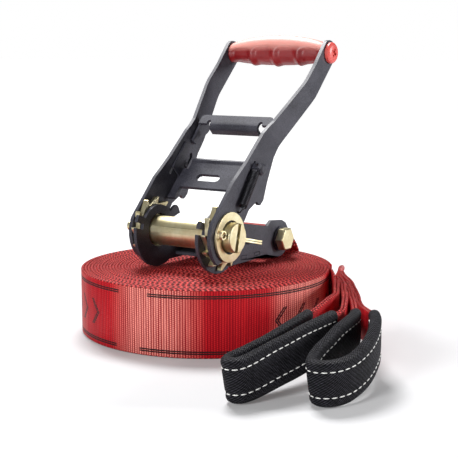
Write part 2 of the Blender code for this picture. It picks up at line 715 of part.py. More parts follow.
def base_outline():
    """The side plate: finger, working arc, rim with its notch, arm and bolt ear."""
    half = NOTCH_WIDTH / 2.0
    finger_start = CLOSED_NOTCH + math.asin(half / FINGER_RADIUS)
    rim_stop = OPEN_NOTCH - math.asin(half / RIM_RADIUS)
    rim_again = OPEN_NOTCH + math.asin(half / RIM_RADIUS)
    step = math.radians(3.0)
    points = arc(FINGER_RADIUS, finger_start + step, FINGER_TIP_ANGLE - step, 3)
    points += [polar(FINGER_RADIUS - CORNER_RADIUS * 0.6, FINGER_TIP_ANGLE + step * 0.4)]
    points += [polar(FINGER_RADIUS - CORNER_RADIUS * 2.0, FINGER_TIP_ANGLE + step)]
    points += arc(WORKING_RADIUS, FINGER_FOOT_ANGLE, STEP_FOOT_ANGLE, 12)
    points += arc(RIM_RADIUS, STEP_TOP_ANGLE, rim_stop - step * 0.5, 2)
    points += notch(OPEN_NOTCH, RIM_RADIUS, RIM_RADIUS)
    points += arc(RIM_RADIUS, rim_again + step, DISC_END_ANGLE, 12)
    points += fillet([(u * BOLT_DISTANCE, v * BOLT_DISTANCE) for u, v in ARM_LOW_SHARES], CORNER_RADIUS)[3:]
    points += arc(EAR_RADIUS, math.radians(-95.0), math.radians(15.0), 7, (BOLT_ALONG, -BOLT_DROP))
    points += [(u * BOLT_DISTANCE, v * BOLT_DISTANCE) for u, v in ARM_TOP_SHARES]
    points += notch(CLOSED_NOTCH, FINGER_RADIUS, FINGER_RADIUS)
    return points


def lock_slot():
    """The slot that lets the lock pawl's tab through the side plate."""
    half = PAWL_THICK / 2.0 + PAWL_SLOT_PLAY
    low = PAWL_ENGAGED_RADIUS - PAWL_SLOT_PLAY
    high = PAWL_ENGAGED_RADIUS + LOCK_TAB_DEPTH + LOCK_TRAVEL + PAWL_SLOT_PLAY
    return [along(LOCK_DIRECTION, low, -half), along(LOCK_DIRECTION, high, -half),
            along(LOCK_DIRECTION, high, half), along(LOCK_DIRECTION, low, half)]


def tie_slots(play):
    """The two tie tabs of the cross web, or their slots in the side plates."""
    shapes = []
    for place in (TIE_TAB_FRONT, TIE_TAB_REAR):
        half = TIE_TAB_WIDTH / 2.0 + play
        rise = WEB_PLATE_THICK / 2.0 + play
        low = (place - half, -WEB_PLATE_DROP - rise)
        shapes.append(box_outline(low, (place + half, -WEB_PLATE_DROP + rise)))
    return shapes


def make_base(axis):
    """The two side plates, the cross web that ties them, and the bolt with its sleeve."""
    bolt_hole = circle(BOLT_RADIUS + BORE_PLAY, 16, (BOLT_ALONG, -BOLT_DROP))
    holes = [circle(SHAFT_RADIUS + BASE_BORE_PLAY, 24), lock_slot(), bolt_hole]
    holes += tie_slots(PAWL_SLOT_PLAY)
    for side, hand in ((-1.0, "left"), (1.0, "right")):
        points, faces = prism(base_outline(), holes, BASE_INNER, BASE_OUTER, across)
        build("base_plate_" + hand, "black_steel", mirrored(points, side), faces, axis)
    make_cross_web(axis)
    make_bolt(axis)


def make_cross_web(axis):
    """A bent sheet with tie tabs; its rear edge is turned up as the lock springs' seat."""
    half = BASE_INNER - CLEARANCE
    tab = BASE_OUTER - half
    low = -WEB_PLATE_DROP - WEB_PLATE_THICK / 2.0
    high = low + WEB_PLATE_THICK
    bend = WEB_PLATE_THICK
    outline = [(WEB_PLATE_START, low)]
    outline += arc(bend, -math.pi / 2.0, 0.0, 3, (WEB_PLATE_END - bend, low + bend))
    outline += [(WEB_PLATE_END, high + WEB_PLATE_RISE), (LOCK_SPRING_SEAT, high + WEB_PLATE_RISE)]
    outline += [(LOCK_SPRING_SEAT, high), (WEB_PLATE_START, high)]
    points, faces = prism(outline, [], -half, half, across)
    web = build("base_cross_web", "black_steel", points, faces, axis)
    for side, hand in ((-1.0, "left"), (1.0, "right")):
        for index, shape in enumerate(tie_slots(0.0)):
            points, faces = prism(shape, [], half - OVERRUN, half + tab, across)
            lug = cutter("tie_tab_%s_%d" % (hand, index), mirrored(points, side), faces, axis)
            cut(web, lug, "UNION")


def hexagon(flats, turn):
    return [polar(flats / math.sqrt(3.0), turn + math.pi * index / 3.0) for index in range(6)]


def make_bolt(axis):
    """Bolt, washers, nut and the sleeve between the ears."""
    centre = (BOLT_ALONG, -BOLT_DROP)
    washer_low = BASE_OUTER + CLEARANCE
    washer_high = washer_low + BOLT_WASHER_THICK
    head_low = washer_high + CLEARANCE
    head_high = head_low + HEX_HEIGHT
    for side, hand in ((-1.0, "left"), (1.0, "right")):
        profile = [(washer_low, BOLT_RADIUS + BORE_PLAY), (washer_high, BOLT_RADIUS + BORE_PLAY),
                   (washer_high, BOLT_WASHER_RADIUS), (washer_low, BOLT_WASHER_RADIUS)]
        points, faces = turned(profile, 20, centre, bored=True)
        build("bolt_washer_" + hand, "black_steel", mirrored(points, side), faces, axis)
    chamfer = SHAFT_CHAMFER
    head = [(head_low, 1.0), (head_high - chamfer, 1.0), (head_high, 0.9)]
    rings = []
    for x, share in head:
        corners = hexagon(HEX_FLATS, 0.0)
        rings.append([Vector((x, centre[0] + u * share, centre[1] + v * share)) for u, v in corners])
    points, faces = loft(rings)
    nut_end = -head_high - BOLT_END
    bolt = build("rear_bolt", "gold_zinc", points, faces, axis)
    shank = [(nut_end, BOLT_RADIUS - chamfer), (nut_end + chamfer, BOLT_RADIUS),
             (head_low + chamfer, BOLT_RADIUS)]
    points, faces = turned(shank, 16, centre)
    cut(bolt, cutter("bolt_shank", points, faces, axis), "UNION")
    bore = circle(BOLT_RADIUS + BORE_PLAY, 16)
    points, faces = prism(hexagon(HEX_FLATS, 0.0), [bore], -head_high, -head_low, across)
    points = [point + Vector((0.0, centre[0], centre[1])) for point in points]
    build("rear_nut", "gold_zinc", points, faces, axis)
    length = BASE_INNER - CLEARANCE
    profile = [(-length, BOLT_RADIUS + BORE_PLAY), (length, BOLT_RADIUS + BORE_PLAY),
               (length, SLEEVE_TUBE_RADIUS), (-length, SLEEVE_TUBE_RADIUS)]
    points, faces = turned(profile, 20, centre, bored=True)
    build("bolt_sleeve", "gold_zinc", points, faces, axis)


def wheel_outline():
    """Twelve hooked teeth, their steep faces on the clockwise side."""
    points = []
    face = HANDLE_REST + TOOTH_PITCH * 0.14
    for tooth in range(WHEEL_TEETH):
        start = face + TOOTH_PITCH * tooth
        points.append(polar(WHEEL_ROOT_RADIUS, start + TOOTH_PITCH * TOOTH_FACE_SHARE))
        points.append(polar(WHEEL_TIP_RADIUS, start))
        points.append(polar(WHEEL_TIP_RADIUS, start + TOOTH_PITCH * TOOTH_CREST_SHARE))
        points.append(polar(WHEEL_ROOT_RADIUS, start + TOOTH_PITCH * TOOTH_BACK_SHARE))
    return points


def half_moon(radius, flat, side, steps, turn):
    """The section of one shaft half, or of its window."""
    open_angle = math.asin(flat / radius)
    middle = turn + (0.0 if side > 0.0 else math.pi)
    return arc(radius, middle - math.pi / 2.0 + open_angle, middle + math.pi / 2.0 - open_angle, steps)


def make_spool(axis):
    """Two half-moon shafts, the wheels that they key, the retaining washers and the cotter pins."""
    for side, hand in ((-1.0, "left"), (1.0, "right")):
        edge = SHAFT_SLOT / 2.0 - BORE_PLAY
        windows = [half_moon(BORE_RADIUS, edge, way, 8, PIN_TILT) for way in (-1.0, 1.0)]
        points, faces = prism(wheel_outline(), windows, WHEEL_INNER, WHEEL_OUTER, across)
        build("ratchet_wheel_" + hand, "gold_zinc", mirrored(points, side), faces, axis)
        bore = SHAFT_RADIUS + WASHER_PLAY
        profile = [(WASHER_INNER, bore), (WASHER_INNER + WASHER_THICK, bore),
                   (WASHER_INNER + WASHER_THICK, WASHER_RADIUS), (WASHER_INNER, WASHER_RADIUS)]
        points, faces = turned(profile, 28, bored=True)
        build("retaining_washer_" + hand, "gold_zinc", mirrored(points, side), faces, axis)
        make_cotter(axis, side, hand)
    drill_points = []
    drill_faces = []
    for side in (-1.0, 1.0):
        ends = []
        for reach in (-SHAFT_RADIUS - OVERRUN, SHAFT_RADIUS + OVERRUN):
            ring = []
            for u, v in circle(PIN_BORE_RADIUS, 12):
                y, z = along(PIN_TILT, reach, v)
                ring.append(Vector((side * PIN_PLACE + u, y, z)))
            ends.append(ring)
        points, faces = loft(ends)
        drill_faces += [tuple(index + len(drill_points) for index in face) for face in faces]
        drill_points += points
    drill = cutter("pin_drill", drill_points, drill_faces, axis)
    for side, name in ((-1.0, "spool_half_front"), (1.0, "spool_half_back")):
        outline = half_moon(SHAFT_RADIUS, SHAFT_SLOT / 2.0, side, 14, PIN_TILT)
        small = half_moon(SHAFT_RADIUS - SHAFT_CHAMFER, SHAFT_SLOT / 2.0, side, 14, PIN_TILT)
        length = SHAFT_HALF_LENGTH
        inner = length - SHAFT_CHAMFER
        rings = []
        for x, shape in ((-length, small), (-inner, outline), (inner, outline), (length, small)):
            rings.append([Vector((x, u, v)) for u, v in shape])
        points, faces = loft(rings)
        cut(build(name, "gold_zinc", points, faces, axis), drill)


def make_cotter(axis, side, hand):
    """A split pin: an eye at the front, two prongs through the shaft, bent outwards behind it."""
    half = PIN_HEIGHT / 2.0
    split = PIN_SPLIT / 2.0
    tip = SHAFT_RADIUS + PIN_REACH
    centre = (-SHAFT_RADIUS - PIN_HEAD_STANDOFF - PIN_EYE_RADIUS * 0.85, 0.0)
    hole = PIN_EYE_RADIUS - (half - split)
    opening = math.asin(half / PIN_EYE_RADIUS)
    inner = math.asin(split * 1.5 / hole)
    outside = arc(PIN_EYE_RADIUS, opening, 2.0 * math.pi - opening, 12, centre)
    inside = arc(hole, inner, 2.0 * math.pi - inner, 12, centre)
    outside = [(tip, half), (PIN_BEND_START, half)] + outside + [(PIN_BEND_START, -half), (tip, -half)]
    inside = [(tip, split), (PIN_BEND_START, split)] + inside + [(PIN_BEND_START, -split), (tip, -split)]
    low = PIN_PLACE - PIN_WIDTH / 2.0
    rings = []
    for far, near in zip(outside, inside):
        ring = []
        for (u, v), depth in ((far, 0.0), (far, PIN_WIDTH), (near, PIN_WIDTH), (near, 0.0)):
            y, z = along(PIN_TILT, u, v)
            ring.append(Vector((low + depth + max(u - PIN_BEND_START, 0.0) * PIN_BEND, y, z)))
        rings.append(ring)
    points, faces = loft(rings)
    build("cotter_pin_" + hand, "gold_zinc", mirrored(points, side), faces, axis)


def make_lock_pawl(axis):
    """The sliding lock plate and the coils behind it; the marker is turned along its way."""
    body = BASE_INNER - CLEARANCE
    tab_end = PAWL_ENGAGED_RADIUS + LOCK_TAB_DEPTH
    outline = []
    for side in (1.0, -1.0):
        corner = [(side * PAWL_TAB_INNER, LOCK_BODY_START), (side * PAWL_TAB_INNER, PAWL_ENGAGED_RADIUS),
                  (side * TAB_OUTER, PAWL_ENGAGED_RADIUS), (side * TAB_OUTER, tab_end), (side * body, tab_end),
                  (side * body, LOCK_BODY_END)]
        outline += corner if side > 0.0 else corner[::-1]
    half = PAWL_THICK / 2.0
    points, faces = prism(outline, [], -half, half, flat_lying)
    build("lock_pawl", "black_steel", points, faces, axis)
    turn = LOCK_DIRECTION
    seat = (LOCK_SPRING_SEAT - CLEARANCE) / math.cos(turn)
    seat -= (LOCK_SPRING_RADIUS + LOCK_SPRING_WIRE / 2.0) * math.tan(abs(turn))
    low = LOCK_BODY_END + CLEARANCE + LOCK_SPRING_WIRE / 2.0
    high = seat - LOCK_SPRING_WIRE / 2.0
    for side, hand in ((-1.0, "left"), (1.0, "right")):
        points = []
        count = LOCK_SPRING_CURLS * CURL_POINTS
        for step in range(count + 1):
            angle = 2.0 * math.pi * step / CURL_POINTS
            x = side * LOCK_SPRING_PLACE + LOCK_SPRING_RADIUS * math.cos(angle)
            points.append(Vector((x, low + (high - low) * step / count, LOCK_SPRING_RADIUS * math.sin(angle))))
        wire("lock_spring_" + hand, "spring_steel", points, LOCK_SPRING_WIRE, axis)
        print("least gap in lock_spring_" + hand + ", m:",
              round(least_gap(points, LOCK_SPRING_WIRE, CURL_POINTS // 2 + 1), 6))


def handle_outline():
    """The lever's side plate, flat: disc, rear edge with its hook, grip end and front edge."""
    rear = [(u * HANDLE_REACH, v * HANDLE_REACH) for u, v in HANDLE_REAR_SHARES]
    front = [(u * HANDLE_REACH, v * HANDLE_REACH) for u, v in HANDLE_FRONT_SHARES]
    corners = rear[:2] + rear[4:]
    soft = fillet(rear[4:], HANDLE_CORNER)[3:-3]
    hook = fillet([rear[1], rear[2], rear[3], rear[4]], HOOK_CORNER)[3:-3]
    edge = [rear[0], rear[1]] + hook + [rear[4]] + soft + [corners[-1]]
    end = arc(HANDLE_END_RADIUS, math.radians(75.0), math.radians(-80.0), 8, (HANDLE_REACH, 0.0))
    disc = arc(HANDLE_DISC_RADIUS, math.radians(-105.0), math.radians(-187.0), 7)
    disc += arc(HANDLE_HEEL_RADIUS, math.radians(-202.0), math.radians(-330.0), 8)
    points = edge + end + fillet(front, HANDLE_CORNER)[1:-1] + disc
    return [(u, -v) for u, v in points]


def dog_leg(shell, edges):
    """Bend the flat plate outwards between two distances from the spool."""
    for distance in edges:
        everything = list(shell.verts) + list(shell.edges) + list(shell.faces)
        bmesh.ops.bisect_plane(shell, geom=everything, plane_co=(0.0, distance, 0.0),
                               plane_no=(0.0, 1.0, 0.0))
    for vert in shell.verts:
        vert.co.x += bend_at(vert.co.y)


def bend_at(distance):
    """How far the lever's plates have spread at a distance from the spool."""
    share = min(max((distance - BEND_START) / (BEND_END - BEND_START), 0.0), 1.0)
    soft = BEND_SOFTNESS
    steep = 1.0 / (1.0 - soft)
    if share < soft:
        return HANDLE_SPREAD * steep * share ** 2 / (2.0 * soft)
    if share > 1.0 - soft:
        return HANDLE_SPREAD * (1.0 - steep * (1.0 - share) ** 2 / (2.0 * soft))
    return HANDLE_SPREAD * steep * (share - soft / 2.0)


def drive_slot_ends():
    """Where the spring lug travels along the plate."""
    low = SPRING_LUG[0] - DRIVE_TRAVEL
    high = SPRING_LUG[0] + CLEARANCE * 3.0
    return low, high


def make_handle_plates(axis):
    """The two dog-legged side plates."""
    low, high = drive_slot_ends()
    lug_slot = slot((high - low + LUG_WIDTH) / 2.0, LUG_THICK / 2.0 + PAWL_SLOT_PLAY,
                    ((low + high) / 2.0, SPRING_LUG[1]))
    holes = [circle(BORE_RADIUS, 24), lug_slot,
             circle(SCREW_RADIUS + CLEARANCE, 10, GUIDE_SCREW_PLACE),
             circle(ANCHOR_HOLE_RADIUS, 8, SPRING_ANCHOR),
             circle(GRIP_ROD_RADIUS + CLEARANCE, 12, (HANDLE_REACH, 0.0))]
    half_soft = BEND_SOFTNESS / 2.0
    shares = (0.0, half_soft, BEND_SOFTNESS, 1.0 - BEND_SOFTNESS, 1.0 - half_soft, 1.0)
    edges = [BEND_START + (BEND_END - BEND_START) * share for share in shares]
    for side, hand in ((-1.0, "left"), (1.0, "right")):
        points, faces = prism(handle_outline(), holes, HANDLE_INNER, HANDLE_OUTER, across)
        shell = bmesh.new()
        verts = [shell.verts.new(point) for point in points]
        for face in faces:
            shell.faces.new([verts[index] for index in face])
        bmesh.ops.recalc_face_normals(shell, faces=shell.faces)
        dog_leg(shell, edges)
        shell.verts.index_update()
        bent = [Vector(vert.co) for vert in shell.verts]
        skin = [tuple(vert.index for vert in face.verts) for face in shell.faces]
        shell.free()
        build("handle_plate_" + hand, "black_steel", mirrored(bent, side), skin, axis)


def make_upper_web(axis):
    """The bent cross web with side flanges and a rolled lower lip."""
    half = HANDLE_INNER - CLEARANCE
    front = UPPER_WEB_FRONT
    back = front - UPPER_WEB_THICK
    low = UPPER_WEB_TOP - UPPER_WEB_DEPTH
    round_corner = UPPER_WEB_DEPTH * 0.5
    outline = []
    for side in (1.0, -1.0):
        lip = UPPER_LIP_HALF_LENGTH
        notch_arc = arc(UPPER_NOTCH_RADIUS, math.pi, 0.0, 4, (lip + UPPER_NOTCH_RADIUS, low))
        corner = (half - round_corner, UPPER_WEB_TOP - round_corner)
        corner_arc = arc(round_corner, 0.0, math.pi / 2.0, 3, corner)
        right = [(lip, low - OVERRUN)] + notch_arc + [(lip + UPPER_NOTCH_RADIUS * 2.0, low - OVERRUN),
                                                      (half, low - OVERRUN)] + corner_arc
        right = [(u * side, v) for u, v in right]
        outline += right if side > 0.0 else right[::-1]
    points, faces = prism(outline, [], back, front, flat_lying)
    web = build("handle_upper_web", "black_steel", points, faces, axis)
    radius = UPPER_LIP_RADIUS
    centre = (low - OVERRUN, front - radius)
    end = centre[1] - UPPER_LIP_REACH
    outer = arc(radius, math.pi / 2.0, math.pi, 6, centre) + [(centre[0] - radius, end)]
    inner = [(centre[0] - radius + UPPER_WEB_THICK, end)]
    inner += arc(radius - UPPER_WEB_THICK, math.pi, math.pi / 2.0, 6, centre)
    lip = [(centre[0] + OVERRUN * 0.5, front)] + outer + inner + [(centre[0] + OVERRUN * 0.5, back)]
    points, faces = prism(lip, [], -UPPER_LIP_HALF_LENGTH, UPPER_LIP_HALF_LENGTH, across)
    cut(web, cutter("upper_lip", points, faces, axis), "UNION")
    for side, hand in ((-1.0, "left"), (1.0, "right")):
        shape = [(EAR_FLANGE_TOP, front - CLEARANCE), (EAR_FLANGE_TOP, -front * 0.4), (low, -front * 0.4),
                 (EAR_FLANGE_LOW, front * 0.25), (EAR_FLANGE_LOW, front * 0.8)]
        shape = fillet(shape, CORNER_RADIUS)
        points, faces = prism(shape, [], half - UPPER_WEB_THICK, half - CLEARANCE, across)
        cut(web, cutter("upper_ear_" + hand, mirrored(points, side), faces, axis), "UNION")


def make_drive_pawl(axis):
    """The sliding drive plate with its finger bar, guide flanges and spring lugs."""
    flange_outer = HANDLE_INNER - CLEARANCE
    flange_inner = flange_outer - FLANGE_THICK
    half = PAWL_THICK / 2.0
    outline = []
    for side in (1.0, -1.0):
        right = [(DRIVE_TAB_INNER, DRIVE_BODY_START), (DRIVE_TAB_INNER, DRIVE_REST_RADIUS),
                 (TAB_OUTER, DRIVE_REST_RADIUS), (TAB_OUTER, DRIVE_NOTCH_START),
                 (DRIVE_EDGE_NOTCH, DRIVE_NOTCH_START), (DRIVE_EDGE_NOTCH, DRIVE_BODY_END)]
        right = [(u * side, v) for u, v in right]
        outline += right if side > 0.0 else right[::-1]
    opening = slot(PAWL_SLOT_HALF_LENGTH, PAWL_SLOT_RADIUS, (-PAWL_SLOT_LEFT, PAWL_SLOT_PLACE))
    points, faces = prism(outline, [opening], -half, half, flat_lying)
    pawl = build("drive_pawl", "black_steel", points, faces, axis)
    bar = [(-DRIVE_EDGE_NOTCH, FINGER_BAR_RADIUS), (DRIVE_EDGE_NOTCH, FINGER_BAR_RADIUS)]
    points, faces = turned(bar, 12, (DRIVE_BODY_END, 0.0))
    cut(pawl, cutter("finger_bar", points, faces, axis), "UNION")
    slot_low = GUIDE_SCREW_PLACE[0] - CLEARANCE * 4.0
    slot_high = GUIDE_SCREW_PLACE[0] + DRIVE_TRAVEL
    guide = slot((slot_high - slot_low) / 2.0, SCREW_RADIUS + CLEARANCE,
                 ((slot_low + slot_high) / 2.0, GUIDE_SCREW_PLACE[1]))
    shape = fillet(box_outline((FLANGE_START, -FLANGE_REAR), (FLANGE_TOP, FLANGE_FRONT)), CORNER_RADIUS)
    for side, hand in ((-1.0, "left"), (1.0, "right")):
        points, faces = prism(shape, [guide], flange_inner, flange_outer, across)
        cut(pawl, cutter("pawl_flange_" + hand, mirrored(points, side), faces, axis), "UNION")
        lug_end = (spring_axis() + SPRING_RADIUS, SPRING_LUG[0] + LUG_WIDTH / 2.0)
        lug = box_outline((flange_inner + CLEARANCE, SPRING_LUG[0] - LUG_WIDTH / 2.0), lug_end)
        lug = fillet(lug, CORNER_RADIUS / 2.0)
        eye = circle(LUG_EYE_RADIUS, 8, (spring_axis(), SPRING_LUG[0]))
        low = SPRING_LUG[1] - LUG_THICK / 2.0
        points, faces = prism(lug, [eye], low, low + LUG_THICK, flat_lying)
        cut(pawl, cutter("pawl_lug_" + hand, mirrored(points, side), faces, axis), "UNION")


def spring_axis():
    """How far out the drive springs lie."""
    return HANDLE_OUTER + SPRING_STANDOFF + SPRING_RADIUS + SPRING_WIRE / 2.0


def drive_spring_points(side):
    """A coil with a hook through the pawl's lug and a hook into the plate."""
    x = spring_axis()
    top = Vector((x, SPRING_TOP[0], SPRING_TOP[1]))
    foot = Vector((x, SPRING_FOOT[0], SPRING_FOOT[1]))
    heading = (foot - top).normalized()
    outward = Vector((1.0, 0.0, 0.0))
    sideways = heading.cross(outward)
    lug = Vector((x, SPRING_LUG[0], SPRING_LUG[1]))
    wire_half = SPRING_WIRE / 2.0
    rise = LUG_THICK / 2.0 + wire_half + CLEARANCE
    points = [lug + Vector((0.0, -SPRING_WIRE, rise + wire_half)), lug + Vector((0.0, 0.0, rise * 0.8)), lug,
              lug + Vector((0.0, 0.0, -rise * 0.8)), lug + Vector((0.0, -SPRING_WIRE, -rise - wire_half))]
    points.append(top.lerp(points[-1], 0.35))
    count = SPRING_CURLS * CURL_POINTS
    for step in range(count + 1):
        angle = 2.0 * math.pi * step / CURL_POINTS
        ease = min(1.0, (step + 2.0) / CURL_POINTS, (count - step + 2.0) / CURL_POINTS)
        radius = SPRING_RADIUS * ease
        place = top.lerp(foot, step / count)
        points.append(place + outward * (radius * math.cos(angle)) + sideways * (radius * math.sin(angle)))
    anchor = Vector((x, SPRING_ANCHOR[0], SPRING_ANCHOR[1]))
    points.append(foot.lerp(anchor, 0.55))
    points.append(anchor + Vector((-SPRING_RADIUS * 0.55, 0.0, 0.0)))
    points.append(Vector((HANDLE_INNER + CLEARANCE, SPRING_ANCHOR[0], SPRING_ANCHOR[1])))
    return mirrored(points, side)


def make_drive_springs(axis):
    """Tension coils on the lever's outer faces, which draw the drive pawl to the wheels."""
    for side, hand in ((-1.0, "left"), (1.0, "right")):
        points = drive_spring_points(side)
        wire("drive_spring_" + hand, "spring_steel", points, SPRING_WIRE, axis)
        print("least gap in drive_spring_" + hand + ", m:",
              round(least_gap(points, SPRING_WIRE, CURL_POINTS // 2 + 1), 6))


def make_guide_screws(axis):
    """Pan-head screws that guide the drive pawl's flanges."""
    for side, hand in ((-1.0, "left"), (1.0, "right")):
        head = HANDLE_OUTER + CLEARANCE
        tip = HANDLE_INNER - CLEARANCE - FLANGE_THICK
        profile = [(tip, SCREW_RADIUS), (head, SCREW_RADIUS), (head, SCREW_HEAD_RADIUS),
                   (head + SCREW_HEAD_HEIGHT * 0.55, SCREW_HEAD_RADIUS),
                   (head + SCREW_HEAD_HEIGHT, SCREW_HEAD_RADIUS * 0.6)]
        points, faces = turned(profile, 14, GUIDE_SCREW_PLACE)
        build("guide_screw_" + hand, "black_steel", mirrored(points, side), faces, axis)


def profile_at(share, column):
    """A smooth value between the grip's profile stations."""
    rows = GRIP_PROFILE_SHARES
    for first, last in zip(rows, rows[1:]):
        if share <= last[0]:
            t = (share - first[0]) / (last[0] - first[0])
            t = t * t * (3.0 - 2.0 * t) * 0.35 + t * 0.65
            return first[column] + (last[column] - first[column]) * t
    return rows[-1][column]


def make_grip(axis):
    """The moulded grip with its crown and finger grooves, its rod and its end screws."""
    reach = HANDLE_REACH
    inner_face = HANDLE_INNER + HANDLE_SPREAD
    length = inner_face - CLEARANCE
    centre = Vector((0.0, reach, 0.0))
    up = Matrix.Rotation(-HANDLE_REST, 3, "X") @ Vector((0.0, 0.0, 1.0))
    side = Vector((1.0, 0.0, 0.0)).cross(up)
    outer = []
    for index in range(GRIP_STATIONS):
        share = -1.0 + 2.0 * index / (GRIP_STATIONS - 1)
        crown = GRIP_END_RADIUS + (GRIP_CROWN - GRIP_END_RADIUS) * profile_at(share, 1)
        depth = GRIP_END_RADIUS + (GRIP_DEPTH - GRIP_END_RADIUS) * profile_at(share, 2)
        wave = 0.5 - 0.5 * math.cos(math.pi * (share + 1.0) * GRIP_GROOVES)
        groove = GRIP_GROOVE * wave * min(1.0, (1.0 - abs(share)) * GRIP_GROOVES)
        ring = []
        for step in range(GRIP_POINTS):
            angle = 2.0 * math.pi * step / GRIP_POINTS
            lift = math.sin(angle)
            low = max(0.0, -lift)
            height = (crown if lift > 0.0 else depth - groove) * lift
            breadth = (GRIP_END_RADIUS + depth) / 2.0 - groove * low * 0.5
            ring.append(centre + Vector((share * length, 0.0, 0.0)) + up * height
                        + side * (breadth * math.cos(angle)))
        outer.append(ring)
    bore = []
    for x in (length, -length):
        ring = []
        for step in range(GRIP_POINTS):
            angle = 2.0 * math.pi * step / GRIP_POINTS
            spoke = up * math.sin(angle) + side * math.cos(angle)
            ring.append(centre + Vector((x, 0.0, 0.0)) + spoke * (GRIP_ROD_RADIUS + BORE_PLAY))
        bore.append(ring)
    points, faces = loft(outer + bore, closed=True)
    build("grip", "red_plastic", points, faces, axis)
    outer_face = inner_face + HANDLE_THICK
    profile = [(-outer_face, GRIP_ROD_RADIUS), (outer_face, GRIP_ROD_RADIUS)]
    points, faces = turned(profile, 12, (reach, 0.0))
    build("grip_rod", "gold_zinc", points, faces, axis)
    start = outer_face + CLEARANCE
    make_grip_cap(axis, -1.0, "left", start, REAR_CAP_RADIUS, REAR_CAP_THICK)
    make_grip_cap(axis, 1.0, "right", start, GRIP_CAP_RADIUS, GRIP_CAP_THICK)


def make_grip_cap(axis, side, hand, start, radius, thick):
    """A round red screw with a cross recess."""
    end = start + thick
    profile = [(start, radius), (start + thick * 0.55, radius), (start + thick * 0.85, radius * 0.86),
               (end, radius * 0.7)]
    points, faces = turned(profile, 18, (HANDLE_REACH, 0.0))
    cap = build("grip_cap_" + hand, "red_plastic", mirrored(points, side), faces, axis)
    arm = RECESS_LENGTH
    wide = RECESS_WIDTH
    cross = [(arm, wide), (wide, wide), (wide, arm), (-wide, arm), (-wide, wide), (-arm, wide),
             (-arm, -wide), (-wide, -wide), (-wide, -arm), (wide, -arm), (wide, -wide), (arm, -wide)]
    centre = (HANDLE_REACH, 0.0)
    cross = [tuple(Vector(centre) + Vector(along(RECESS_TURN, u, v))) for u, v in cross]
    points, faces = prism(cross, [], end - thick * RECESS_SHARE, end + OVERRUN, across)
    cut(cap, cutter("cross_recess_" + hand, mirrored(points, side), faces, axis))


def settle(root):
    """Bring the set's bottom centre to the origin."""
    bpy.context.view_layer.update()
    graph = bpy.context.evaluated_depsgraph_get()
    low = Vector((math.inf,) * 3)
    high = Vector((-math.inf,) * 3)
    for item in bpy.context.scene.objects:
        if item.type == "EMPTY" or item.hide_render:
            continue
        shown = item.evaluated_get(graph)
        mesh = shown.to_mesh()
        for vert in mesh.vertices:
            place = shown.matrix_world @ vert.co
            low = Vector(map(min, low, place))
            high = Vector(map(max, high, place))
        shown.to_mesh_clear()
    root.location = (-(low.x + high.x) / 2.0, -(low.y + high.y) / 2.0, -low.z)
    bpy.context.view_layer.update()
    print("roll centre, m:", [round(value, 6) for value in root.location])
    print("size, m:", [round(value, 6) for value in (high - low)])


def main():
    clear_scene()
    root = empty("set_origin", None, (0.0, 0.0, 0.0))
    spool_place = Vector((0.0, SPOOL_OFFSET, SPOOL_HEIGHT))
    base = empty("base_frame", root, spool_place)
    spool = empty("spool_spin", root, spool_place)
    lock = empty("lock_slide", root, spool_place, LOCK_DIRECTION)
    handle = empty("handle_swing", root, spool_place, HANDLE_REST)
    bolt = spool_place + Vector((0.0, BOLT_ALONG, -BOLT_DROP))
    make_line_loop(root)
    make_sling_drape(root, bolt)
    make_sling_stack(root)
    make_sling_loop(root)
    make_base(base)
    make_spool(spool)
    make_lock_pawl(lock)
    make_handle_plates(handle)
    make_upper_web(handle)
    make_drive_pawl(handle)
    make_drive_springs(handle)
    make_guide_screws(handle)
    make_grip(handle)
    settle(root)
    for marker in (spool, lock, handle):
        print(marker.name, "at, m:", [round(value, 6) for value in marker.matrix_world.translation])


main()
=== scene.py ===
"""Dresses the slackline set: its stage, webbing, sleeves, ratchet, lever, grip and springs."""

import json
import math
from itertools import accumulate

import bmesh
import bpy
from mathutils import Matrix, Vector

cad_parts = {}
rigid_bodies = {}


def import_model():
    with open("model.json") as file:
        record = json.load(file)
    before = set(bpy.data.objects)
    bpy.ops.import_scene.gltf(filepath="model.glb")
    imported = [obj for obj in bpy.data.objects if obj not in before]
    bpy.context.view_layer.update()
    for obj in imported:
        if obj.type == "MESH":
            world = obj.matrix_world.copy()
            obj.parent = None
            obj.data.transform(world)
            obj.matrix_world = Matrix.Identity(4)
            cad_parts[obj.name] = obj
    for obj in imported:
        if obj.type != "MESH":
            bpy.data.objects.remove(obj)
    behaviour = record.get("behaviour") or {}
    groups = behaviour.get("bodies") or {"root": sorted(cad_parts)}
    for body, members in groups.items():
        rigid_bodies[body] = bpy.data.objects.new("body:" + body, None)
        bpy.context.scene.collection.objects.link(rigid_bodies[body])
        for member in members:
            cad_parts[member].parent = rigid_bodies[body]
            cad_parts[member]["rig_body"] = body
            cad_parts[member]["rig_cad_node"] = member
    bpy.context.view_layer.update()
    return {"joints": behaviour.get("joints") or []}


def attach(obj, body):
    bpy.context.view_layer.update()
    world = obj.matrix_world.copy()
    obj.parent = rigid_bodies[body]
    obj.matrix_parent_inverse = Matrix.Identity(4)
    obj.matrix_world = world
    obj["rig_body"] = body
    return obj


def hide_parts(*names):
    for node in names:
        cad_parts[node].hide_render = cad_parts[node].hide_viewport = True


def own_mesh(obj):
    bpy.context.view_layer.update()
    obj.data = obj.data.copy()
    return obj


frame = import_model()

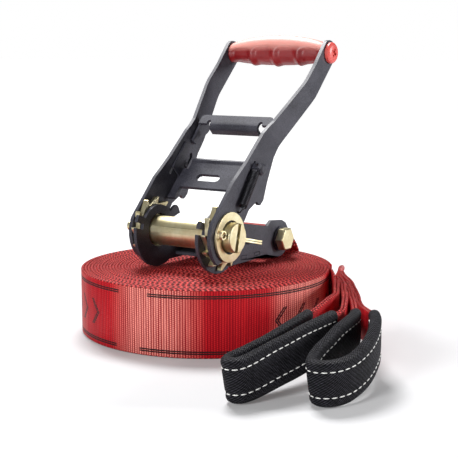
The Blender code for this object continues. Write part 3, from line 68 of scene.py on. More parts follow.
# Stage
# A pale studio floor under an even sky, with three soft boxes and the camera of the photograph.
# The set's own zero is the middle of the roll on the floor; the ratchet's spool tells where it lies.
SPOOL_FROM_ROLL = Vector((0.0, -0.0253, 0.0786))
CAMERA_FROM_ROLL = Vector((0.4968, -0.7077, 0.2134))
CAMERA_HEADING = math.radians(33.9)
CAMERA_DIP = math.radians(8.889)
CAMERA_LENS = 87.99
WHITE = (1.0, 1.0, 1.0, 1.0)
FLOOR_SIZE = 60.0
FLOOR_ROUGHNESS = 0.9
FLOOR_COLOUR = (0.55, 0.55, 0.56, 1.0)
FLOOR_LIFT_NEAR = 0.12
FLOOR_LIFT_FAR = 0.95
FLOOR_NEAR = 0.35
FLOOR_FAR = 1.40
SKY_LIGHT = 0.11
LIGHT_AIM = Vector((0.0, 0.0, 0.08))
SOFT_BOXES = (
    ("top_box", (-0.50, 0.40, 1.20), 0.50, 27.0),
    ("front_box", (0.05, -1.32, 0.48), 0.38, 14.0),
    ("right_box", (1.15, 0.62, 0.42), 0.40, 15.0),
)
RANGE_VALUE, RANGE_LOW, RANGE_HIGH, RANGE_TO_LOW, RANGE_TO_HIGH = range(5)

joints = {joint["name"]: joint for joint in frame["joints"]}
spool_axis = Vector(joints["handle_swing"]["pos_m"])
roll_middle = spool_axis - SPOOL_FROM_ROLL


class Finish:
    """A material and its node tree, with short words for its nodes."""

    def __init__(self, name, roughness, metallic=0.0):
        self.material = bpy.data.materials.new(name)
        self.material.use_nodes = True
        self.tree = self.material.node_tree
        self.shader = self.tree.nodes["Principled BSDF"]
        self.shader.inputs["Roughness"].default_value = roughness
        self.shader.inputs["Metallic"].default_value = metallic

    def node(self, kind, inputs=None, **settings):
        made = self.tree.nodes.new(kind)
        for key, value in settings.items():
            setattr(made, key, value)
        for key, value in (inputs or {}).items():
            self.put(made.inputs[key], value)
        return made

    def put(self, socket, value):
        if isinstance(value, bpy.types.NodeSocket):
            self.tree.links.new(value, socket)
        else:
            socket.default_value = value

    def math(self, operation, *values):
        return self.node("ShaderNodeMath", dict(enumerate(values)), operation=operation).outputs[0]

    def range(self, value, low, high, to_low=0.0, to_high=1.0):
        levels = {RANGE_VALUE: value, RANGE_LOW: low, RANGE_HIGH: high,
                  RANGE_TO_LOW: to_low, RANGE_TO_HIGH: to_high}
        return self.node("ShaderNodeMapRange", levels).outputs[0]

    def place(self):
        return self.node("ShaderNodeTexCoord").outputs["Object"]

    def colour(self, value):
        self.put(self.shader.inputs["Base Color"], value)


def set_out(name, data):
    """An object for some data, put in the scene."""
    made = bpy.data.objects.new(name, data)
    bpy.context.scene.collection.objects.link(made)
    return made


floor_mesh = bpy.data.meshes.new("floor")
half = FLOOR_SIZE / 2.0
floor_mesh.from_pydata([(-half, -half, 0.0), (half, -half, 0.0), (half, half, 0.0), (-half, half, 0.0)], [],
                       [(0, 1, 2, 3)])
floor = set_out("floor", floor_mesh)
floor_finish = Finish("floor_paper", FLOOR_ROUGHNESS)
floor_finish.colour(FLOOR_COLOUR)
seen = floor_finish.node("ShaderNodeLightPath").outputs["Is Camera Ray"]
floor_finish.shader.inputs["Emission Color"].default_value = WHITE
ends = {0: floor_finish.place(), 1: roll_middle}
apart = floor_finish.node("ShaderNodeVectorMath", ends, operation="DISTANCE")
lift = floor_finish.range(apart.outputs["Value"], FLOOR_NEAR, FLOOR_FAR, FLOOR_LIFT_NEAR, FLOOR_LIFT_FAR)
floor_finish.put(floor_finish.shader.inputs["Emission Strength"], floor_finish.math("MULTIPLY", seen, lift))
floor_mesh.materials.append(floor_finish.material)

world = bpy.data.worlds.new("studio")
bpy.context.scene.world = world
world.use_nodes = True
sky = world.node_tree.nodes["Background"]
sky.inputs["Color"].default_value = WHITE
sky_rays = world.node_tree.nodes.new("ShaderNodeLightPath")
sky_level = world.node_tree.nodes.new("ShaderNodeMapRange")
sky_level.inputs[RANGE_TO_LOW].default_value = SKY_LIGHT
sky_level.inputs[RANGE_TO_HIGH].default_value = 1.0
world.node_tree.links.new(sky_rays.outputs["Is Camera Ray"], sky_level.inputs[RANGE_VALUE])
world.node_tree.links.new(sky_level.outputs[0], sky.inputs["Strength"])

for name, place, size, power in SOFT_BOXES:
    lamp = bpy.data.lights.new(name, "AREA")
    lamp.shape = "SQUARE"
    lamp.size = size
    lamp.energy = power
    box = set_out(name, lamp)
    box.location = roll_middle + Vector(place)
    box.rotation_euler = (LIGHT_AIM - Vector(place)).to_track_quat("-Z", "Y").to_euler()

camera_data = bpy.data.cameras.new("photo_camera")
camera_data.lens = CAMERA_LENS
camera = set_out("photo_camera", camera_data)
camera.location = roll_middle + CAMERA_FROM_ROLL
camera.rotation_euler = (math.pi / 2.0 - CAMERA_DIP, 0.0, CAMERA_HEADING)
bpy.context.scene.camera = camera
bpy.context.scene.view_settings.view_transform = "Standard"

# Webbing
# Flat red polyester webbing, 50 mm wide and 2.2 mm thick, woven with a ribbed face and thick selvedges.
# One strap is rolled on edge; its face carries plain printed lines and chevrons.
WEB_WIDTH = 0.050
WEB_THICK = 0.0022
RED_LIGHT = (0.66, 0.014, 0.020, 1.0)
RED_DEEP = (0.22, 0.0012, 0.008, 1.0)
# Colour of the painted highlight bands on the webbing's face.
RED_PAINTED_HIGHLIGHT = (1.0, 0.46, 0.38, 1.0)
RED_DARK = (0.085, 0.0004, 0.003, 1.0)
RED_SPARK = (0.90, 0.10, 0.095, 1.0)
RED_TINT = (1.0, 0.50, 0.42, 1.0)
INK = (0.012, 0.010, 0.012, 1.0)
WEB_ROUGHNESS = 0.5
WEB_SPECULAR = 0.2
WEB_RELIEF = 0.0004
WEB_RELIEF_SHARE = 0.7
BEAD_INSET = 0.6
BEAD_SHOULDER = 0.45
BEAD_FACE = 0.8
RIB_SPACING = 0.00195
RIB_STRETCH = (1.0, 0.04, 1.0)
ROW_SPACING = 0.0015
ROW_LOW = 0.35
WEAVE_TONE = 0.62
STREAK_TONE = 0.55
STREAK_RELIEF = 0.5
STREAK_SCALE = 0.8 / RIB_SPACING
TONE_SPAN = (0.25, 0.85)
# Spacing, span, start and strength of the painted highlight bands.
HIGHLIGHT_BAND_SPACING = 0.030
HIGHLIGHT_BAND_SPAN = (0.38, 0.72)
PAINTED_HIGHLIGHT_SPACING = 0.1165
PAINTED_HIGHLIGHT_START = 0.4168
ROLL_PAINTED_HIGHLIGHT = 0.85
STRAP_PAINTED_HIGHLIGHT = 0.35
SPARK_SPACING = 0.0040
SPARK_SLANT = 0.0008
SPARK_SPAN = (-0.6, 0.9)
SPECKLE_SCALE = 900.0
SPECKLE_SPAN = (0.3, 0.62)
# Crease pattern, and the depth of the painted shade laid in it.
CREASE_SPACING = 0.0042
CREASE_STRETCH = (0.45, 1.0, 1.0)
CREASE_SPAN = (0.40, 0.54)
CREASE_SHADE = 0.28
CREASE_DEPTH = 2.5
PRINT_PERIOD = 0.330
PRINT_START = 0.6114
LINE_HALF = 0.00052
LINE_HEIGHTS = (0.0029, 0.0044, 0.0441, 0.0456)
LINE_BREAKS = ((0.2165, 0.0105), (0.212, 0.0125))
CHEVRON_SPACING = 0.0195
CHEVRON_MIDDLE = 0.0243
CHEVRON_HALF = 0.0098
CHEVRON_STROKE = 0.00075
CHEVRON_PAIR = 0.0021
CHEVRON_GROUPS = ((0.80, 0.1050, 0.0715, 0.0345), (-0.85, 0.2500, 0.2760, 0.0300))
MIX_SHARE, MIX_FIRST, MIX_SECOND, MIX_COLOUR = 0, 6, 7, 2


class PieceFinish(Finish):
    """A finish for the set's own pieces, with words for patterns, the cloth's map and relief."""

    def mix(self, share, first, second):
        made = self.node("ShaderNodeMix", data_type="RGBA")
        for socket, value in ((MIX_SHARE, share), (MIX_FIRST, first), (MIX_SECOND, second)):
            self.put(made.inputs[socket], value)
        return made.outputs[MIX_COLOUR]

    def plus(self, first, second):
        return self.math("ADD", first, second)

    def times(self, first, second):
        return self.math("MULTIPLY", first, second)

    def blend(self, first, share, second, other_share):
        return self.plus(self.times(first, share), self.times(second, other_share))

    def wave(self, value, spacing, kind="SINE"):
        return self.math(kind, self.times(value, 2.0 * math.pi / spacing))

    def noise(self, vector, scale, detail=2.0, roughness=0.5):
        settings = {"Vector": vector, "Scale": scale, "Detail": detail, "Roughness": roughness}
        return self.node("ShaderNodeTexNoise", settings).outputs[0]

    def stretch(self, vector, scale):
        return self.node("ShaderNodeMapping", {"Vector": vector, "Scale": scale}).outputs[0]

    def cloth(self):
        """The piece's own map, and its places along and across the cloth."""
        spot = self.node("ShaderNodeUVMap", uv_map="cloth").outputs[0]
        parts = self.node("ShaderNodeSeparateXYZ", {0: spot}).outputs
        return spot, parts[0], parts[1]

    def fact(self, word):
        return self.node("ShaderNodeAttribute", attribute_name=word).outputs["Fac"]

    def specular(self, level):
        self.shader.inputs["Specular IOR Level"].default_value = level

    def bump(self, height, depth, strength):
        made = self.node("ShaderNodeBump", {"Height": height, "Distance": depth, "Strength": strength})
        self.put(self.shader.inputs["Normal"], made.outputs[0])


def webbing_finish(name, printed):
    """Red webbing; places come from the cloth's own map: along the strap and across it."""
    finish = PieceFinish(name, WEB_ROUGHNESS)
    cloth, along, across = finish.cloth()
    rib_place = finish.stretch(cloth, RIB_STRETCH)
    streaks = finish.noise(rib_place, STREAK_SCALE, 2.0, 0.6)
    rib = finish.range(finish.wave(along, RIB_SPACING), -1.0, 1.0)
    column = finish.math("FLOOR", finish.times(along, 1.0 / RIB_SPACING))
    row_phase = finish.blend(across, 2.0 * math.pi / ROW_SPACING, column, math.pi)
    row = finish.range(finish.math("SINE", row_phase), -1.0, 1.0, ROW_LOW, 1.0)
    weave = finish.times(rib, row)
    tone = finish.range(finish.blend(weave, WEAVE_TONE, streaks, STREAK_TONE), *TONE_SPAN)
    # Painted highlight: pale salmon bands along the strap, set by a cosine wave with a fixed start and by
    # noise, stand in for the lamps' sheen on the face; they are strongest on the roll.
    highlight_run = finish.math("SUBTRACT", along, PAINTED_HIGHLIGHT_START)
    highlight_wave = finish.range(finish.wave(highlight_run, PAINTED_HIGHLIGHT_SPACING, "COSINE"), -1.0, 1.0)
    highlight_bands = finish.blend(finish.noise(rib_place, 1.0 / HIGHLIGHT_BAND_SPACING, 1.0), 0.5, highlight_wave, 0.5)
    shine = finish.range(highlight_bands, *HIGHLIGHT_BAND_SPAN, 0.0, ROLL_PAINTED_HIGHLIGHT if printed else STRAP_PAINTED_HIGHLIGHT)
    face = finish.mix(finish.times(tone, shine), finish.mix(tone, RED_DEEP, RED_LIGHT), RED_PAINTED_HIGHLIGHT)
    spark_run = finish.plus(along, finish.math("PINGPONG", across, SPARK_SLANT))
    spark = finish.range(finish.wave(spark_run, SPARK_SPACING), *SPARK_SPAN)
    speckle = finish.range(finish.noise(cloth, SPECKLE_SCALE, 1.0), *SPECKLE_SPAN)
    rim = finish.mix(finish.times(spark, speckle), RED_DARK, RED_SPARK)
    edge = finish.fact("selvedge")
    colour = finish.mix(edge, face, rim)
    depth = finish.blend(weave, 1.0, streaks, STREAK_RELIEF)
    if printed:
        colour = finish.mix(print_mask(finish, along, across, edge), colour, INK)
    else:
        # Painted shade: random creases darken the plain straps' colour towards the dark red, besides denting
        # their relief.
        creases = finish.noise(finish.stretch(cloth, CREASE_STRETCH), 1.0 / CREASE_SPACING, 3.0, 0.65)
        colour = finish.mix(finish.range(creases, *CREASE_SPAN, CREASE_SHADE, 0.0), colour, RED_DARK)
        depth = finish.blend(depth, 1.0, creases, CREASE_DEPTH)
    finish.colour(colour)
    finish.specular(WEB_SPECULAR)
    finish.shader.inputs["Specular Tint"].default_value = RED_TINT
    finish.bump(depth, WEB_RELIEF, WEB_RELIEF_SHARE)
    return finish.material


def print_mask(finish, along, across, edge):
    """Double lines near both edges, broken once each period, and rows of plain chevrons."""
    run = finish.math("MODULO", finish.math("SUBTRACT", PRINT_START, along), PRINT_PERIOD)
    mask = 0.0
    for index, height in enumerate(LINE_HEIGHTS):
        middle, reach = LINE_BREAKS[index // 2]
        unbroken = finish.math("SUBTRACT", 1.0, finish.math("COMPARE", run, middle, reach))
        line = finish.times(finish.math("COMPARE", across, height, LINE_HALF), unbroken)
        mask = finish.math("MAXIMUM", mask, line)
    rise = finish.math("ABSOLUTE", finish.math("SUBTRACT", across, CHEVRON_MIDDLE))
    inside = finish.math("LESS_THAN", rise, CHEVRON_HALF)
    for slant, start, middle, reach in CHEVRON_GROUPS:
        slanted = finish.math("SUBTRACT", finish.blend(run, 1.0, rise, slant), start)
        wrapped = finish.math("WRAP", slanted, CHEVRON_SPACING / 2.0, -CHEVRON_SPACING / 2.0)
        first = finish.math("COMPARE", wrapped, 0.0, CHEVRON_STROKE)
        second = finish.math("COMPARE", wrapped, -CHEVRON_PAIR, CHEVRON_STROKE)
        group = finish.times(finish.math("COMPARE", run, middle, reach), inside)
        mask = finish.math("MAXIMUM", mask, finish.times(finish.math("MAXIMUM", first, second), group))
    return finish.times(mask, finish.times(finish.fact("outer"), finish.math("SUBTRACT", 1.0, edge)))


def lay(name, rings, along, around, material, edges=(), outer=(), ring_of_rings=False):
    """A closed skin through rings of points; along and around place each point on the cloth, in metres."""
    size = len(rings[0])
    rows = len(rings)
    faces = []
    places = []
    selvedge = []
    shown = []
    for row in range(rows if ring_of_rings else rows - 1):
        here = row * size
        there = (row + 1) % rows * size
        for index in range(size):
            after = (index + 1) % size
            faces.append((here + index, here + after, there + after, there + index))
            places += [(along[row], around[index]), (along[row], around[index + 1]),
                       (along[row + 1], around[index + 1]), (along[row + 1], around[index])]
            selvedge.append(float(index in edges))
            shown.append(float(index in outer))
    if not ring_of_rings:
        for row, order in ((0, range(size)[::-1]), (rows - 1, range(size))):
            faces.append([row * size + index for index in order])
            places += [(along[row], around[index]) for index in order]
            selvedge.append(0.0)
            shown.append(0.0)
    mesh = bpy.data.meshes.new(name)
    mesh.from_pydata([tuple(point) for ring in rings for point in ring], [], faces)
    cloth = mesh.uv_layers.new(name="cloth")
    cloth.data.foreach_set("uv", [value for place in places for value in place])
    for word, values in (("selvedge", selvedge), ("outer", shown)):
        mesh.attributes.new(word, "FLOAT", "FACE").data.foreach_set("value", values)
    mesh.shade_smooth()
    shell = bmesh.new()
    shell.from_mesh(mesh)
    turn_outwards(shell, mesh)
    mesh.materials.append(material)
    return set_out(name, mesh)


def turn_outwards(shell, mesh):
    """Turn a working mesh's faces outwards and write it to the mesh."""
    bmesh.ops.recalc_face_normals(shell, faces=shell.faces)
    shell.to_mesh(mesh)
    shell.free()


def hand_over(piece, body, slot, *nodes):
    """Give a piece its body and hide the part's nodes that it stands for; the slot is not used."""
    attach(piece, body)
    if nodes:
        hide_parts(*nodes)


def lengths(points):
    """Distance run at each point of a line."""
    steps = [(after - before).length for before, after in zip(points, points[1:])]
    return list(accumulate(steps, initial=0.0))


def headings(points):
    """Direction of a line at each of its points."""
    befores = points[:1] + points[:-1]
    afters = points[1:] + points[-1:]
    return [(after - before).normalized() for before, after in zip(befores, afters)]


def flat_section(width, thick):
    """A strap's section with rounded selvedges: places across and through, and the cloth's own measure."""
    bead = thick / 2.0
    reach = width / 2.0
    inset = bead * BEAD_INSET
    face = bead * BEAD_FACE
    low = bead * BEAD_SHOULDER
    section = [(-reach + inset, bead), (reach - inset, bead), (reach, low), (reach, -low),
               (reach - inset, -bead), (-reach + inset, -bead), (-reach, -low), (-reach, low)]
    steps = [width, inset, face, inset, width, inset, face, inset]
    return section, list(accumulate(steps, initial=0.0))


FLAT_EDGES = (1, 2, 3, 5, 6, 7)
ROLL_RADIUS = 0.0967
ROLL_TURNS = 39
ROLL_BORE = 0.0045
ROLL_GAP = 0.00012
TURN_POINTS = 90
ROLL_END_ANGLE = math.radians(36.0)
ROLL_FALL = 0.0005
WANDER_SLOW = 2.7
WANDER_FAST = 11.3

roll_pitch = (ROLL_RADIUS - ROLL_BORE) / ROLL_TURNS
roll_thick = roll_pitch - ROLL_GAP
section, around = flat_section(WEB_WIDTH - ROLL_FALL, roll_thick)
rings = []
middles = []
for step in range(ROLL_TURNS * TURN_POINTS + 1):
    left = ROLL_TURNS - step / TURN_POINTS
    radius = ROLL_RADIUS - roll_pitch * left + roll_thick * 0.5
    angle = ROLL_END_ANGLE + 2.0 * math.pi * left
    spoke = Vector((math.cos(angle), math.sin(angle), 0.0))
    wander = ROLL_FALL * 0.5 * math.sin(left * WANDER_SLOW) * math.sin(left * WANDER_FAST + 1.0)
    middle = roll_middle + spoke * radius + Vector((0.0, 0.0, WEB_WIDTH / 2.0 + wander))
    middles.append(middle)
    rings.append([middle + spoke * b + Vector((0.0, 0.0, a)) for a, b in section])
runs = lengths(middles)
line_length = runs[-1]
back = [line_length - run for run in runs]
roll_red = webbing_finish("printed_red_webbing", True)
strap_red = webbing_finish("plain_red_webbing", False)
roll = lay("rolled_line", rings, back, around, roll_red, FLAT_EDGES, (0,))
hand_over(roll, "base", "red_webbing", "webbing_roll")
print("line in the roll, m:", round(line_length, 2))

# End loop of the line
# The strap's outer end, folded lengthwise into two layers, led out from the roll and back as a sewn loop.
# Rows hold a place and the upper edge's lean; where the fold still climbs, also a height and a thickness.
FOLD_HEIGHT = 0.0236
FOLD_THICK = 0.0040
LAYER_GAP = 0.0004
LEAST_LAYER = 0.0008
ROUTE_STEPS = 8
ROLL_LEAVE = 0.0004
ROLL_TRIM = 0.0006
LINE_FOLDING = (
    (0.0870, 0.0450, 0.0265, 0.0, 0.0, 0.0460, 0.0024),
    (0.0955, 0.0335, 0.0315, 0.0, 0.0, 0.0360, 0.0032),
    (0.1037, 0.0225, 0.0340, 0.0, 0.0, 0.0245, 0.0040),
)
LINE_ROUTE = (
    (0.1130, 0.0050, 0.0337, 0.0, 0.0),
    (0.1225, -0.0130, 0.0330, 0.0, 0.0),
    (0.1280, -0.0330, 0.0338, 0.0, 0.0),
    (0.1325, -0.0540, 0.0328, 0.0, 0.0),
    (0.1350, -0.0733, 0.0312, 0.0, 0.0),
    (0.1352, -0.0881, 0.0292, 0.0, 0.0),
    (0.1340, -0.1028, 0.0266, 0.0, 0.0),
    (0.1318, -0.1210, 0.0230, 0.0, 0.0),
    (0.1273, -0.1364, 0.0190, -0.0010, -0.0020),
    (0.1238, -0.1460, 0.0166, -0.0020, -0.0030),
    (0.1235, -0.1500, 0.0161, -0.0020, -0.0030),
    (0.1251, -0.1542, 0.0158, -0.0020, -0.0030),
    (0.1288, -0.1559, 0.0158, -0.0015, -0.0030),
    (0.1323, -0.1541, 0.0159, -0.0015, -0.0028),
    (0.1346, -0.1494, 0.0165, -0.0020, -0.0020),
    (0.1372, -0.1428, 0.0180, -0.0030, -0.0010),
    (0.1430, -0.1290, 0.0224, -0.0050, 0.0010),
    (0.1470, -0.1165, 0.0254, -0.0060, 0.0020),
    (0.1503, -0.1040, 0.0284, -0.0060, 0.0020),
    (0.1522, -0.0892, 0.0304, -0.0040, 0.0010),
    (0.1530, -0.0745, 0.0318, -0.0020, 0.0),
    (0.1512, -0.0574, 0.0326, 0.0, 0.0),
    (0.1430, -0.0390, 0.0332, 0.0, 0.0),
    (0.1305, -0.0140, 0.0330, 0.0, 0.0),
    (0.1190, 0.0050, 0.0320, 0.0, 0.0),
    (0.1093, 0.0225, 0.0320, 0.0, 0.0),
    (0.0975, 0.0400, 0.0315, 0.0, 0.0),
    (0.0905, 0.0495, 0.0310, 0.0, 0.0),
)

def curve_through(points, steps):
    """A smooth curve through points, with a number of steps from each to the next."""
    rows = [points[0] * 2.0 - points[1], *points, points[-1] * 2.0 - points[-2]]
    curve = []
    for a, b, c, d in zip(rows, rows[1:], rows[2:], rows[3:]):
        for step in range(steps):
            t = step / steps
            curve.append((b * 2.0 + (c - a) * t + (a * 2.0 - b * 5.0 + c * 4.0 - d) * t ** 2
                          + (b * 3.0 - a - c * 3.0 + d) * t ** 3) * 0.5)
    curve.append(points[-1])
    return curve


def strap_frames(folding, route):
    """Middle, up and side directions, height and thickness at each station of a strap."""
    rows = list(folding) + [row + (FOLD_HEIGHT, FOLD_THICK) for row in route]
    stations = curve_through([Vector(row) for row in rows], ROUTE_STEPS)
    middles = [roll_middle + Vector(row[:3]) for row in stations]
    frames = []
    for middle, heading, row in zip(middles, headings(middles), stations):
        lean_x, lean_y, height, thick = row[3:]
        rise = math.sqrt(max(height ** 2 - lean_x ** 2 - lean_y ** 2, 0.0))
        up = Vector((lean_x, lean_y, rise)).normalized()
        frames.append((middle, up, heading.cross(up).normalized(), height, thick))
    return frames


def folded_section(height, thick):
    """Two layers joined by the fold at the foot; the second one grows as the first gets lower."""
    second = max(min(WEB_WIDTH - height, height), LEAST_LAYER)
    layer = (thick - LAYER_GAP) / 2.0
    foot = layer * 0.5
    out = thick / 2.0
    gap = LAYER_GAP / 2.0
    inset = layer * 0.3
    lip = gap + layer * 0.2
    shape = [(height - inset, out), (foot, out), (0.0, out * 0.5), (0.0, -out * 0.5), (foot, -out),
             (second - inset, -out), (second, -out * 0.72), (second, -lip), (second - inset, -gap),
             (foot, -gap), (foot, gap), (height - inset, gap), (height, lip), (height, out * 0.72)]
    around = [height, foot, 0.0, -foot, -foot * 2.0, -second, -second, -second - layer, -second - layer,
              -second * 2.0, second, height, height + layer * 0.4, height + layer, height + layer * 1.2]
    return [(a - height / 2.0, b) for a, b in shape], around


FOLDED_EDGES = (5, 6, 7, 11, 12, 13)


def make_strap(name, rings, middles, around, edges, node):
    """A plain red strap through its rings, with its length printed."""
    runs = lengths(middles)
    strap = lay(name, rings, runs, around, strap_red, edges)
    hand_over(strap, "base", "red_webbing", node)
    print(name, "m:", round(runs[-1], 3))


def make_folded_strap(name, frames, node):
    """A strap of two layers along its frames."""
    rings = []
    for middle, up, side, height, thick in frames:
        rings.append([middle + up * a + side * b for a, b in folded_section(height, thick)[0]])
    around = folded_section(FOLD_HEIGHT, FOLD_THICK)[1]
    make_strap(name, rings, [row[0] for row in frames], around, FOLDED_EDGES, node)


roll_out = Vector((math.cos(ROLL_END_ANGLE), math.sin(ROLL_END_ANGLE), 0.0))
roll_on = Vector((roll_out.y, -roll_out.x, 0.0))
start = roll_out * ROLL_RADIUS + roll_on * ROLL_LEAVE + Vector((0.0, 0.0, WEB_WIDTH / 2.0))
first_row = (*start, 0.0, 0.0, WEB_WIDTH - ROLL_TRIM, WEB_THICK)
line_frames = strap_frames((first_row,) + LINE_FOLDING, LINE_ROUTE)
make_folded_strap("line_end_strap", line_frames, "line_end_loop")

# Sling
# The ratchet's own strap: its eye is sewn round the bolt's spacer tube, it lies over the roll, and its
# surplus is folded flat behind the roll. Its far end is led round the roll and folded into the second loop.
SLING_FOLDING = (
    (0.0126, 0.1392, 0.0013, 0.0, 0.0500, 0.0500, 0.0022),
    (0.0240, 0.1383, 0.0054, 0.0030, 0.0485, 0.0490, 0.0022),
    (0.0370, 0.1310, 0.0146, 0.0120, 0.0360, 0.0440, 0.0026),
    (0.0490, 0.1165, 0.0202, 0.0120, 0.0160, 0.0360, 0.0035),
    (0.0620, 0.1010, 0.0245, 0.0040, 0.0040, 0.0270, 0.0040),
)
SLING_ROUTE = (
    (0.0765, 0.0850, 0.0250, 0.0, 0.0),
    (0.0915, 0.0670, 0.0250, 0.0, 0.0),
    (0.1050, 0.0470, 0.0250, 0.0, 0.0),
    (0.1212, 0.0225, 0.0248, 0.0, 0.0),
    (0.1315, 0.0050, 0.0248, 0.0, 0.0),
    (0.1430, -0.0130, 0.0262, 0.0, 0.0),
    (0.1580, -0.0335, 0.0290, 0.0, 0.0),
    (0.1704, -0.0490, 0.0306, 0.0, 0.0),
    (0.1784, -0.0620, 0.0302, 0.0, 0.0),
    (0.1848, -0.0770, 0.0275, 0.0, 0.0),
    (0.1884, -0.0919, 0.0234, 0.0, 0.0),
    (0.1894, -0.1046, 0.0202, 0.0, 0.0),
    (0.1880, -0.1161, 0.0173, 0.0, 0.0),
    (0.1842, -0.1250, 0.0159, 0.0, -0.0015),
    (0.1786, -0.1308, 0.0157, -0.0010, -0.0025),
    (0.1716, -0.1301, 0.0157, -0.0020, -0.0025),
    (0.1674, -0.1230, 0.0168, -0.0015, -0.0020),
    (0.1653, -0.1120, 0.0200, -0.0010, -0.0010),
    (0.1646, -0.1000, 0.0232, 0.0, 0.0),
    (0.1644, -0.0873, 0.0272, 0.0, 0.0),
    (0.1640, -0.0735, 0.0295, 0.0, 0.0),
    (0.1612, -0.0580, 0.0306, 0.0, 0.0),
    (0.1525, -0.0420, 0.0310, 0.0, 0.0),
    (0.1375, -0.0155, 0.0298, 0.0, 0.0),
    (0.1252, 0.0050, 0.0282, 0.0, 0.0),
    (0.1150, 0.0225, 0.0280, 0.0, 0.0),
    (0.1020, 0.0420, 0.0278, 0.0, 0.0),
    (0.0950, 0.0520, 0.0275, 0.0, 0.0),
)
BOLT_DISTANCE = 0.0867
BOLT_DROP = 0.0133
EYE_RADIUS = 0.0092
EYE_START = math.radians(-72.0)
EYE_TURN = math.radians(-216.0)
EYE_POINTS = 32
UNDER_POINTS = 3
DRAPE_STEPS = 6
CLOTH_GAP = 0.00045
STACK_LAYERS = 12
STACK_FRONT = 0.1142
STACK_BEHIND = STACK_FRONT + WEB_WIDTH
STACK_LEFT = -0.0920
STACK_RIGHT = 0.0120
STACK_STEP = WEB_THICK + CLOTH_GAP
STACK_SHIFT = 0.0007
STACK_TUCK = 0.002
STACK_SWAYS = (2.3, 1.7, 0.6)
TUCK_STEPS = 6
BEND_STEPS = 8
DRAPE_ROUTE = ((0.0246, -0.0003), (0.0300, -0.0040), (0.0352, -0.0092), (0.0392, -0.0149),
               (0.0411, -0.0212), (0.0428, -0.0272), (0.0468, -0.0313), (0.0515, -0.0323))


def lay_strip(name, rows, node):
    """A flat strap given by its two edges, with rounded selvedges."""
    middles = [(a + b) / 2.0 for a, b in rows]
    rings = []
    for (a, b), middle, heading in zip(rows, middles, headings(middles)):
        across = (b - a).normalized()
        normal = heading.cross(across).normalized()
        section = flat_section((b - a).length, WEB_THICK)[0]
        rings.append([middle + across * place + normal * out for place, out in section])
    make_strap(name, rings, middles, flat_section(WEB_WIDTH, WEB_THICK)[1], FLAT_EDGES, node)


bolt_along = math.sqrt(BOLT_DISTANCE ** 2 - BOLT_DROP ** 2)
bolt_axis = spool_axis + Vector((0.0, bolt_along, -BOLT_DROP))
way = [Vector(point) for point in DRAPE_ROUTE]
under = []
for index in range(UNDER_POINTS):
    heading = (way[index + 1] - way[max(index - 1, 0)]).normalized()
    under.append(way[index] + Vector((heading.y, -heading.x)) * STACK_STEP)
eye = []
for step in range(EYE_POINTS + 1):
    angle = EYE_START + EYE_TURN * step / EYE_POINTS
    eye.append(Vector((EYE_RADIUS * math.cos(angle), EYE_RADIUS * math.sin(angle))))
coming = curve_through(under[::-1] + eye[:1], DRAPE_STEPS)
going = curve_through([eye[-1]] + way, DRAPE_STEPS)
half_web = Vector((WEB_WIDTH / 2.0, 0.0, 0.0))
drape_middles = [bolt_axis + Vector((0.0, point.x, point.y)) for point in coming[:-1] + eye + going[1:]]
drape_rows = [(middle - half_web, middle + half_web) for middle in drape_middles]
lay_strip("sling_over_roll", drape_rows, "sling_drape")


def level_row(first, second, height):
    """Both edges of a strap at one height, each given by its place beside and behind the roll's middle."""
    return roll_middle + Vector((*first, height)), roll_middle + Vector((*second, height))


reach = WEB_WIDTH / 2.0
turn = STACK_STEP / 2.0
levels = [WEB_THICK / 2.0 + STACK_STEP * layer for layer in range(STACK_LAYERS + 1)]
bends = [(turn * math.sin(math.pi * step / BEND_STEPS), turn * math.cos(math.pi * step / BEND_STEPS) - turn)
         for step in range(BEND_STEPS + 1)]
stack_rows = []
for step in range(TUCK_STEPS):
    share = step / TUCK_STEPS
    near = STACK_FRONT - STACK_TUCK * (1.0 - share)
    stack_rows.append(level_row((reach, near), (-reach, near + WEB_WIDTH * share), levels[-1]))
for out, drop in bends:
    out *= math.sqrt(0.5)
    stack_rows.append(level_row((reach + out, STACK_FRONT + out), (-reach + out, STACK_BEHIND + out),
                                levels[-1] + drop))
stack_rows.append(level_row((0.0, STACK_FRONT), (-reach - STACK_TUCK, STACK_BEHIND), levels[-2]))
for layer in range(STACK_LAYERS - 1, 0, -1):
    leftwards = (STACK_LAYERS - 1 - layer) % 2 == 0
    side = STACK_LEFT + STACK_SHIFT * math.sin(layer * STACK_SWAYS[0]) if leftwards else STACK_RIGHT
    sway = STACK_SHIFT * math.sin(layer * STACK_SWAYS[1] + STACK_SWAYS[2])
    for out, drop in bends:
        place = side - out if leftwards else side + out
        stack_rows.append(level_row((place, STACK_FRONT + sway), (place, STACK_BEHIND + sway),
                                    levels[layer] + drop))
stack_rows.append(level_row((STACK_RIGHT, STACK_FRONT), (STACK_RIGHT, STACK_BEHIND), levels[0]))
lay_strip("sling_surplus", stack_rows, "sling_stack")

sling_frames = strap_frames(SLING_FOLDING, SLING_ROUTE)
make_folded_strap("sling_end_strap", sling_frames, "sling_end_loop")

